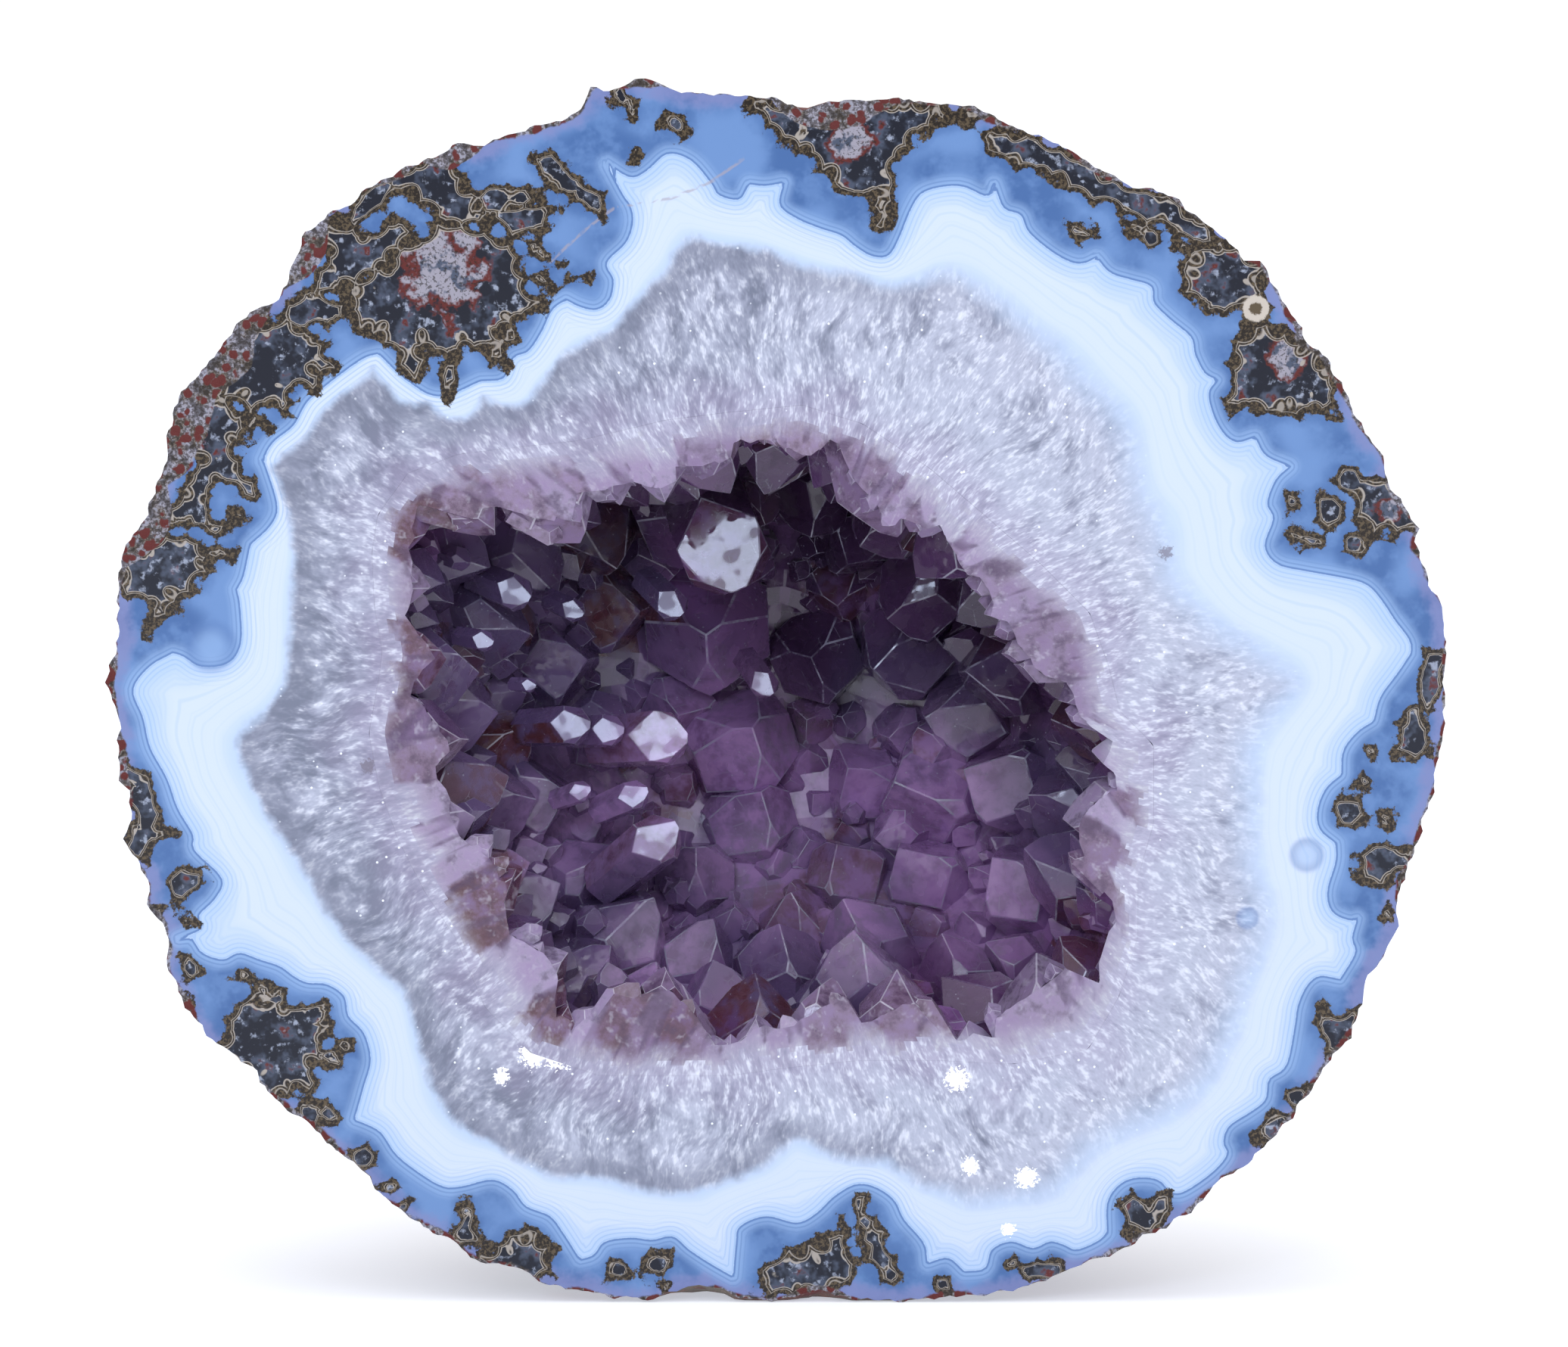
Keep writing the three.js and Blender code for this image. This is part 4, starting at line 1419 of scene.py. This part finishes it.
@dataclass
class Crust:
    """The crust of amethyst points that lines the hollow: a sawn rim, and the points behind it."""

    gap: float = 0.012  # kept from the stone, in mm
    apart: float = 0.04  # kept between the rim and the points behind it
    lining: float = 2.4  # thickness of the crust under its points
    rim_depth: float = 6.0  # of the rim's root behind the sawn face
    seed: int = 7
    sizes: tuple[float, ...] = (4.9, 4.0, 3.2)  # radii of the larger crystals, in mm
    tries: int = 260  # places tried for each of them
    small: tuple[float, ...] = (2.6, 2.0, 1.5)
    small_tries: int = 420
    mouth_room: float = 2.0  # kept free behind the sawn face
    fringe_count: int = 84
    columns: int = 180
    rings: int = 22
    cap_step: float = 0.5  # size of the sawn cap's faces
    roots: np.ndarray = field(default_factory=lambda: curve(ROOTS, 1))
    view: View = field(default_factory=View)
    cut: list[Point] = field(default_factory=list)
    grown: list[Point] = field(default_factory=list)

    def along(self, direction: np.ndarray) -> np.ndarray:
        """Where a line from the middle of the mouth meets the wall, in mm.

        Args:
            direction: the line's direction, at a length of 1.

        Returns:
            The point on the wall.
        """
        flat = math.hypot(direction[0], direction[2])
        wide = flat / float(reach(self.roots, np.array([math.atan2(direction[2], direction[0])]))[0])
        low, high = 0.0, 80.0
        for _ in range(30):
            mid = (low + high) / 2
            if (mid * wide) ** 2.2 + (mid * direction[1] / HOLLOW_DEPTH) ** 2.1 < 1:
                low = mid
            else:
                high = mid
        return np.array([0, FRONT, CENTRE_Z]) + direction * low

    def behind(self, x: float, z: float) -> np.ndarray:
        """The wall behind a place on the sawn face, in mm.

        Args:
            x: place on the face in mm.
            z: its height in mm.

        Returns:
            The point on the wall.
        """
        far = float(reach(self.roots, np.array([math.atan2(z - CENTRE_Z, x)]))[0])
        share = min(0.98, math.hypot(x, z - CENTRE_Z) / far)
        return np.array([x, FRONT + HOLLOW_DEPTH * (1 - share**2.2) ** (1 / 2.1), z])

    def saw(self, draw: Callable[[], float]) -> None:
        """Places the crystals that the saw has cut.

        Args:
            draw: stream of random numbers.
        """
        for words in entries(CUT):
            a, b, *numbers = words.split()
            width, tint, warm = (float(n) for n in numbers)
            (root,), (tip,) = read(a)[0], read(b)[0]
            radius = width * UNIT / 1.8
            y = FRONT + radius * (0.35 + 0.4 * draw())
            axis = np.array([tip[0] - root[0], 0.0, tip[1] - root[1]])
            axis[1] = (0.1 + 0.3 * tint) * np.linalg.norm(axis)
            skip(draw)
            spin = draw() * FULL
            length = float(np.linalg.norm(axis))
            at = np.array([root[0], y, root[1]])
            milk = 4.0 * max(0.0, 0.6 - tint - warm * 0.5)
            self.cut.append(Point(at, axis, radius, length, spin, variant(spin), tint, warm, milk))

    def fringe(self) -> None:
        """Fills the rim between those crystals with smaller ones that end at the teeth of the outline."""
        draw = stream(5)
        teeth = curve(TEETH, 1)
        large = list(self.cut)
        for k in range(self.fringe_count):
            angle = (k + 0.8 * draw()) * FULL / self.fringe_count
            far, near = (float(reach(line, np.array([angle]))[0]) for line in (self.roots, teeth))
            radius = 1.1 + 1.9 * draw() ** 1.5
            out = np.array([math.cos(angle), 0.0, math.sin(angle)])
            side = np.array([-out[2], 0.0, out[0]])
            tip = out * (near + 0.2 + 2.2 * draw()) + side * 1.6 * (draw() - 0.5)
            root = out * (far + 1.5) + side * 6.0 * (draw() - 0.5)
            tip[1], root[1] = radius * (0.4 + 1.6 * draw()), radius * (0.1 + 0.5 * draw())
            axis = tip - root
            at = root + np.array([0.0, FRONT, CENTRE_Z])
            spin = draw() * FULL
            tint, warm = draw() ** 1.3, float(draw() < 0.14) * 0.8
            length = float(np.linalg.norm(axis))
            beside = min(large, key=lambda big: float(np.linalg.norm(big.tip() - at - axis)))
            if np.linalg.norm(beside.tip() - at - axis) < 5.0:
                tint, warm = beside.tint, beside.warm
            milk = 1.5 * draw()
            self.cut.append(Point(at, axis, radius, length, spin, variant(spin), tint, warm, milk))

    def shine(self) -> None:
        """Places the crystals with a facet that shows the key light to the camera."""
        slope = CrystalForms.slope
        for words in entries(SHINE):
            place, radius, depth = words.split()
            column, row = (float(n) for n in place.split(","))
            size = float(radius)
            facet = self.view.sight(column, row, float(depth))
            look = self.view.mirror(facet)
            inward = np.array([0.0, FRONT - 10.0, CENTRE_Z]) - facet
            side = inward - look * float(inward @ look)
            axis = look * math.cos(slope) + side / np.linalg.norm(side) * math.sin(slope)
            fall = look * float(axis @ look) - axis
            tip = facet - fall / np.linalg.norm(fall) * size * 0.62
            point = Point(tip - axis * size * 2, axis, size, size * 2, 0.0, int(size < 3), 0.6)
            local = point.turned().transposed() @ Vector(look)
            point.spin = math.atan2(local.y, local.x) - math.pi / 6
            self.grown.append(point)

    def grow(self, draw: Callable[[], float]) -> None:
        """Places the crystals over the wall: the large ones, then the rest in falling sizes.

        Args:
            draw: stream of random numbers.
        """
        aim = np.array([-1.0, FRONT + 7, CENTRE_Z - 2])
        made: list[tuple[np.ndarray, float]] = []

        def stand(place: np.ndarray, radius: float, stretch: float) -> None:
            """Adds a crystal that stands on the wall."""
            axis = (aim - place) / np.linalg.norm(aim - place)
            root = place + axis * 1.6
            axis = axis + np.array([0.5 * (draw() - 0.5), 0.0, 0.0])
            axis[2] += 0.5 * (draw() - 0.5)
            skip(draw)
            made.append((place, radius))
            spin = draw() * FULL
            self.grown.append(Point(root, axis, radius, radius * stretch, spin, variant(spin)))

        for words in entries(LARGE):
            at, radius = words.split()
            (place,) = read(at)[0]
            stand(self.behind(place[0], place[1]), float(radius), 1.6)
        for sizes, tries, room in ((self.sizes, self.tries, 0.82), (self.small, self.small_tries, 0.72)):
            for size in sizes:
                for _ in range(tries):
                    deep = draw()
                    angle = draw() * FULL
                    flat = math.sqrt(1 - deep * deep)
                    place = self.along(np.array([flat * math.cos(angle), deep, flat * math.sin(angle)]))
                    if place[1] < FRONT + self.mouth_room + 1.2 * size:
                        continue
                    if any(np.linalg.norm(m - place) < room * (r + size) for m, r in made):
                        continue
                    radius = size * (0.9 + 0.25 * draw())
                    stand(place, radius, 1.2 + 0.5 * draw())
        self.bud()
        tone = stream(3)
        for point in self.grown:
            point.tint, point.warm = tone(), float(tone() < 0.2) * (0.4 + 0.5 * tone())

    def bud(self) -> None:
        """Adds small crystals that grow out of the sides of the large ones."""
        draw = stream(23)
        for big in self.grown[len(entries(SHINE)) :]:
            if big.radius < 1.9:
                continue
            basis = np.array(big.turned())
            for _ in range(int(3.4 * draw())):
                turn = FULL * draw()
                out = basis @ np.array([math.cos(turn), math.sin(turn), 0.0])
                radius = big.radius * (0.22 + 0.24 * draw())
                down = big.radius * (0.55 + 1.2 * draw())
                axis = big.along() + out * (0.05 + 0.5 * draw() ** 2)
                axis /= np.linalg.norm(axis)
                tip = big.tip() - big.along() * down + out * big.radius * 0.8 + axis * radius * 1.1
                length = radius * 2.0
                spin = draw() * FULL
                self.grown.append(Point(tip - axis * length, axis, radius, length, spin, variant(spin)))

    def space(self, inset: float, ahead: float, cap: int = 0) -> tuple[np.ndarray, list[tuple[int, ...]]]:
        """The space inside the hollow down to an inset, closed in front.

        Args:
            inset: distance kept from the wall, in mm.
            ahead: how far it stands out in front, in mm.
            cap: how many fine rings its front has along the mouth.

        Returns:
            Points and faces.
        """
        columns = self.columns * (2 if cap else 1)
        angles = -np.arange(columns) * FULL / columns
        far = reach(self.roots, angles)
        rings = [np.array([[0.0, FRONT - ahead, CENTRE_Z]])]
        rings += [wall(angles, 0.0, inset + k * self.cap_step, far) for k in range(cap, 0, -1)]
        if ahead:
            first = wall(angles, 0.0, inset, far)
            first[:, 1] = FRONT - ahead
            rings.append(first)
        rings += [wall(angles, k / self.rings, inset, far) for k in range(self.rings)]
        rings.append(np.array([[0.0, FRONT + HOLLOW_DEPTH - inset, CENTRE_Z]]))
        return self.skin(rings)

    def hoop(self, inner: float, outer: float, depth: float) -> tuple[np.ndarray, list[tuple[int, ...]]]:
        """A hoop along the mouth of the hollow, wide in front, with broken facets on its inside.

        Args:
            inner: how much further in than usual its inside lies, in mm.
            outer: how far its outside lies beyond the mouth, in mm.
            depth: how deep it goes, in mm.

        Returns:
            Points and faces.
        """
        angles = -np.arange(self.columns) * FULL / self.columns
        far, near = reach(self.roots, angles), reach(curve(TEETH, 1), angles)
        draw = stream(31)
        zigzag = np.repeat([draw() for _ in range(self.columns // 3)], 3)
        front = near + 0.2 + 1.2 * zigzag + 0.08 * np.maximum(0, far - near) - inner
        front = np.minimum(front, far - self.gap - self.lining - inner)
        back = far - self.gap - self.lining - inner
        ahead = FRONT - 1.0
        rings = []
        out, end = far + outer, FRONT + depth
        for r, y in ((front, ahead), (out, ahead), (out, end), (back, end)):
            rings.append(around(r, angles, y))
        rings.append(rings[0])
        points, faces = self.skin(rings)
        n = self.columns
        return points[: 4 * n], [tuple(i % (4 * n) for i in f) for f in faces]

    def skin(self, rings: list[np.ndarray]) -> tuple[np.ndarray, list[tuple[int, ...]]]:
        """Joins rings of points by faces.

        Args:
            rings: the rings, in mm.

        Returns:
            Points and faces.
        """
        starts = np.cumsum([0] + [len(r) for r in rings])
        faces: list[tuple[int, ...]] = []
        for k in range(len(rings) - 1):
            faces += band(int(starts[k]), len(rings[k]), int(starts[k + 1]), len(rings[k + 1]))
        return np.concatenate(rings), faces

    def seeds(self, name: str, crystals: list[Point]) -> bpy.types.Object:
        """One point for each crystal's tip, with its turn, size and form.

        Args:
            name: name of the object.
            crystals: the crystals.

        Returns:
            An object of loose points.
        """
        made = mesh_object(name, np.array([c.tip() for c in crystals]), [])
        turns = np.array([list(c.turned().to_euler()) for c in crystals], np.float32)
        columns = {
            "turn": ("FLOAT_VECTOR", "vector", turns),
            "size": ("FLOAT", "value", np.array([c.radius * MM for c in crystals], np.float32)),
            "form": ("INT", "value", np.array([c.form % CrystalForms.variants for c in crystals], np.int32)),
        }
        for key, (kind, slot, values) in columns.items():
            made.data.attributes.new(key, kind, "POINT").data.foreach_set(slot, values.ravel())
        return made

    def tree(self) -> bpy.types.NodeTree:
        """Builds the node tree that stands a form on each point, joins them all and trims them.

        Returns:
            The node tree.
        """
        t = bpy.data.node_groups.new("crust_of_points", "GeometryNodeTree")
        for name, kind in (
            ("Geometry", "Geometry"),
            ("Radius share", "Float"),
            ("Forms", "Collection"),
            ("Root", "Object"),
            ("Keep", "Object"),
            ("Remove", "Object"),
            ("Look", "Material"),
        ):
            t.interface.new_socket(name, in_out="INPUT", socket_type=f"NodeSocket{kind}")
        t.interface.new_socket("Geometry", in_out="OUTPUT", socket_type="NodeSocketGeometry")
        given = add(t, "NodeGroupInput").outputs
        named = {
            name: add(t, "GeometryNodeInputNamedAttribute", {"Name": name}, data_type=kind)
            for name, kind in (("turn", "FLOAT_VECTOR"), ("size", "FLOAT"), ("form", "INT"))
        }
        rotation = add(t, "FunctionNodeEulerToRotation", {0: named["turn"]})
        size = add(t, "ShaderNodeMath", {0: named["size"], 1: given["Radius share"]}, operation="MULTIPLY")
        pick = add(
            t,
            "GeometryNodeCollectionInfo",
            {"Collection": given["Forms"], "Separate Children": True, "Reset Children": True},
        )
        stood = add(
            t,
            "GeometryNodeInstanceOnPoints",
            {
                "Points": given["Geometry"],
                "Instance": pick,
                "Pick Instance": True,
                "Instance Index": named["form"],
                "Rotation": rotation,
                "Scale": size,
            },
        )
        held = {
            name: add(t, "GeometryNodeObjectInfo", {"Object": given[name]}).outputs["Geometry"]
            for name in ("Root", "Keep", "Remove")
        }
        kind = "GeometryNodeMeshBoolean"
        joined = add(t, kind, {"Mesh": stood}, operation="UNION", solver="MANIFOLD")
        t.links.new(held["Root"], joined.inputs["Mesh"])
        kept = add(t, kind, {"Mesh": joined.outputs["Mesh"]}, operation="INTERSECT", solver="MANIFOLD")
        t.links.new(held["Keep"], kept.inputs["Mesh"])
        parts = {"Mesh 1": kept.outputs["Mesh"], "Mesh 2": held["Remove"]}
        left = add(t, kind, parts, operation="DIFFERENCE", solver="MANIFOLD")
        real = add(t, "GeometryNodeRealizeInstances", {0: left.outputs["Mesh"]})
        painted = add(t, "GeometryNodeSetMaterial", {0: real, "Material": given["Look"]})
        add(t, "NodeGroupOutput", {0: painted})
        return t

    def evaluate(
        self, name: str, tree: bpy.types.NodeTree, crystals: list[Point], **values: object
    ) -> bpy.types.Object:
        """Runs the node tree on some crystals and keeps the result as a plain mesh.

        Args:
            name: name of the new object.
            tree: the node tree.
            crystals: the crystals.
            values: the tree's inputs, named with underscores for blanks.

        Returns:
            The new object.
        """
        seeds = self.seeds(name + "_seeds", crystals)
        modifier = seeds.modifiers.new("crust", "NODES")
        modifier.node_group = tree
        for item in tree.interface.items_tree:
            key = item.name.replace(" ", "_")
            if item.in_out == "INPUT" and key in values:
                modifier[item.identifier] = values[key]
        seeds.data.update()
        graph = bpy.context.evaluated_depsgraph_get()
        result = bpy.data.meshes.new_from_object(seeds.evaluated_get(graph))
        result.materials.clear()
        if "Look" in values:
            result.materials.append(values["Look"])
        made = bpy.data.objects.new(name, result)
        bpy.context.scene.collection.objects.link(made)
        bpy.data.objects.remove(seeds)
        return made

    def build(self) -> list[bpy.types.Object]:
        """Builds the rim and the points behind it, each one closed mesh.

        Returns:
            The rim, and the points behind it.
        """
        draw = stream(self.seed)
        self.saw(draw)
        self.shine()
        self.grow(draw)
        self.fringe()
        forms = CrystalForms().build()
        tree = self.tree()
        space = mesh_object("space", *self.space(self.gap, 0.0))
        sawn = mesh_object("sawn", *self.space(self.gap, 0.0, 34))
        ample = mesh_object("ample", *self.space(-3.0, 4.0))
        bowl = mesh_object("bowl", *self.space(self.gap + self.lining, 5.0))
        nothing = mesh_object("nothing", *self.space(30.0, 0.0))
        nothing.data.transform(Matrix.Translation((0.0, 1.0, 0.0)))
        hoop = mesh_object("hoop", *self.hoop(0.0, 1.5, self.rim_depth))
        lining = mesh_object("lining", *self.space(self.gap, 0.0))
        hollowed = lining.modifiers.new("hollowed", "BOOLEAN")
        hollowed.operation, hollowed.solver, hollowed.object = "DIFFERENCE", "MANIFOLD", bowl
        inputs = {"Radius_share": 1.0, "Forms": forms, "Root": hoop, "Keep": sawn, "Remove": nothing}
        rim = self.evaluate("rim_crystals", tree, self.cut, Look=PaleAmethyst().make(), **inputs)
        rim.data.materials.append(MilkyQuartz().make())
        swollen = mesh_object("swollen", *self.hoop(self.apart, 4.0, self.rim_depth + self.apart))
        inputs |= {"Radius_share": 1.02, "Root": swollen, "Keep": ample}
        cutter = self.evaluate("cutter", tree, self.cut, **inputs)
        inputs |= {"Radius_share": 1.0, "Root": lining, "Keep": space, "Remove": cutter}
        deep = self.evaluate("amethyst_points", tree, self.grown, Look=Amethyst().make(), **inputs)
        for spare in [space, sawn, ample, bowl, nothing, hoop, lining, swollen, cutter, *forms.objects]:
            bpy.data.objects.remove(spare)
        bpy.data.collections.remove(forms)
        for piece, crystals in ((rim, self.cut), (deep, self.grown)):
            self.dress(piece.data, crystals)
            LOG.info("%s: %d crystals, %d faces", piece.name, len(crystals), len(piece.data.polygons))
        return [rim, deep]

    def owners(self, at: np.ndarray, crystals: list[Point]) -> tuple[np.ndarray, np.ndarray]:
        """Which crystal each place belongs to, and how clearly.

        Args:
            at: places in mm.
            crystals: the crystals.

        Returns:
            The crystal's number for each place, and how much nearer it is than the next one, over its radius.
        """
        nearest, second = np.full(len(at), np.inf), np.full(len(at), np.inf)
        owner = np.zeros(len(at), np.int32)
        for k, crystal in enumerate(crystals):
            rel = at - crystal.tip()
            down = np.clip(-(rel @ crystal.along()), crystal.radius * 0.3, crystal.length + crystal.radius)
            gap = np.linalg.norm(rel + down[:, None] * crystal.along(), axis=1) / crystal.radius
            closer = gap < nearest
            second = np.where(closer, nearest, np.minimum(second, gap))
            owner = np.where(closer, k, owner)
            nearest = np.where(closer, gap, nearest)
        return owner, second - nearest

    def dress(self, data: bpy.types.Mesh, crystals: list[Point]) -> None:
        """Stores on the mesh how each crystal is tinted and where it lies, and makes its sawn root milky.

        Args:
            data: the mesh.
            crystals: the crystals in it.
        """
        count, corners = len(data.polygons), len(data.loops)
        at, co = np.empty(count * 3, np.float32), np.empty(len(data.vertices) * 3, np.float32)
        loops, vertex = np.empty(count, np.int32), np.empty(corners, np.int32)
        data.polygons.foreach_get("center", at)
        data.polygons.foreach_get("loop_total", loops)
        data.vertices.foreach_get("co", co)
        data.loops.foreach_get("vertex_index", vertex)
        at, co = at.reshape(-1, 3) / MM, co.reshape(-1, 3) / MM
        owner, _ = self.owners(at, crystals)
        mine, clear = self.owners(co, crystals)
        sawn = np.repeat(at[:, 1] < FRONT + 0.01, loops)
        whose = np.where(sawn, mine[vertex], np.repeat(owner, loops))
        for name in ("tint", "warm"):
            values = np.array([getattr(c, name) for c in crystals], np.float32)[whose]
            data.attributes.new(name, "FLOAT", "CORNER").data.foreach_set("value", values)
        border = np.where(sawn, clear[vertex], 1.0).astype(np.float32)
        data.attributes.new("border", "FLOAT", "CORNER").data.foreach_set("value", border)
        flat = co[:, [0, 2]]
        out = signed_distance(flat, self.roots)
        milk = np.array([c.milk for c in crystals])
        spots = Stone().spots
        # The frost spots also carry a painted reflection; glow and painted_shade are painted light and shade.
        columns = {
            "out_mm": out,
            "root_mm": -out + 0.6 * np.maximum(0, co[:, 1] - FRONT) - milk[mine],
            "frost": spots(flat, FROST_AND_SHEEN),
            "glow": spots(flat, PAINTED_LIGHT_SPOTS) ** 0.6,
            "slate": spots(flat, SLATE) ** 0.6,
            "painted_shade": spots(flat, PAINTED_SHADE_SPOTS) ** 0.6,
        }
        for name, values in columns.items():
            data.attributes.new(name, "FLOAT", "POINT").data.foreach_set("value", values.astype(np.float32))
        if len(data.materials) > 1:
            deep = -signed_distance(at[:, [0, 2]], self.roots) + 0.8 * (at[:, 1] - FRONT) - 0.5 * milk[owner]
            uneven = np.array([noise.noise(Vector((x * 0.5, y * 0.5, z * 0.5))) for x, y, z in at])
            data.polygons.foreach_set("material_index", (deep + 1.6 * uneven < 0.9).astype(np.int32))
        data.polygons.foreach_set("use_smooth", np.zeros(count, bool))


# The studio.


@dataclass
class Studio:
    """White table lit from below, white surround, three softboxes, and the camera at the photograph's place.

    The key softbox is small and to the left, because the shining facets show its image. The others are broad.
    The surround is darker near the horizon, so that facets that look to the front stay dark.
    """

    view: View = field(default_factory=View)
    width: float = 2072.0  # of the picture, in outline columns

    def camera(self) -> None:
        """Sets the camera to frame the whole picture."""
        data = bpy.data.cameras.new("camera")
        data.sensor_fit = "HORIZONTAL"
        data.sensor_width = 36.0
        data.lens = 36.0 * self.view.distance / (self.width * UNIT)
        data.clip_start, data.clip_end = 0.05, 60.0
        made = bpy.data.objects.new("camera", data)
        made.location = Vector(self.view.camera() * MM)
        look = Vector(self.view.target() - self.view.camera())
        made.rotation_euler = look.to_track_quat("-Z", "Y").to_euler()
        bpy.context.scene.collection.objects.link(made)
        bpy.context.scene.camera = made

    def lamp(self, name: str, at: Sequence[float], size: float, radiance: float, colour: str) -> None:
        """Adds a square softbox, its place in mm and its size in m, that looks at the stone.

        Args:
            name: name of the light.
            at: its place in mm.
            size: its side in m.
            radiance: its brightness in W per steradian and square metre.
            colour: its colour in sRGB.
        """
        data = bpy.data.lights.new(name, "AREA")
        data.size = size
        data.energy = radiance * math.pi * size * size
        data.color = linear(colour)[:3]
        made = bpy.data.objects.new(name, data)
        made.location = Vector(at) * MM
        aim = Vector((0, -0.02, 0.06)) - made.location
        made.rotation_euler = aim.to_track_quat("-Z", "Y").to_euler()
        bpy.context.scene.collection.objects.link(made)

    def build(self) -> None:
        """Builds the floor, lights, surround and camera."""
        world = bpy.data.worlds.new("surround")
        world.use_nodes = True
        t = world.node_tree
        way = add(t, "ShaderNodeTexCoord").outputs["Generated"]
        up = add(t, "ShaderNodeSeparateXYZ", {0: way}).outputs[2]
        rise = {0: up, 1: 0.1, 2: 0.75, 3: 0.32, 4: 1.27}
        dome = add(t, "ShaderNodeMapRange", rise, interpolation_type="SMOOTHSTEP")
        seen = add(t, "ShaderNodeLightPath").outputs["Is Camera Ray"]
        strength = add(t, "ShaderNodeMix", {0: seen, 2: dome, 3: 1.06}).outputs[0]
        t.links.new(strength, t.nodes["Background"].inputs["Strength"])
        t.nodes["Background"].inputs["Color"].default_value = (1.0, 1.0, 1.0, 1.0)
        bpy.context.scene.world = world
        far = 20000.0
        corners = np.array([[-far, -far, 0], [far, -far, 0], [far, far, 0], [-far, far, 0]])
        floor = mesh_object("floor", corners, [(0, 1, 2, 3)])
        table = Paint("opal_acrylic")
        look = {"Base_Color": "#CCCCCC", "Emission_Color": "#EEF3FF", "Emission_Strength": 0.52}
        table.material.cycles.emission_sampling = "NONE"
        floor.data.materials.append(table.finish(Roughness=0.8, **look))
        self.lamp("key", self.view.light, 0.30, 11.0, "#D4E3FF")
        self.lamp("overhead", (-100.0, -350.0, 1200.0), 0.9, 1.5, "#E8ECFF")
        self.lamp("front", (260.0, -1250.0, 850.0), 0.8, 1.9, "#E2E8FF")
        self.camera()
        scene = bpy.context.scene
        scene.view_settings.view_transform = "Standard"
        scene.view_settings.look = "None"


def main() -> None:
    """Builds the stone, its crust and the studio, and ties the pieces to the frame."""
    logging.basicConfig(level=logging.INFO, format="%(message)s")
    stone = Stone().build()
    LOG.info("%s: %d faces", stone.name, len(stone.data.polygons))
    pieces = [(stone, "agate_shell", "agate")]
    pieces += [(piece, "amethyst_crust", "amethyst") for piece in Crust().build()]
    for piece, node, slot in pieces:
        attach(piece, "root")
        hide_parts(node)
    Studio().build()


if __name__ == "__main__":
    main()
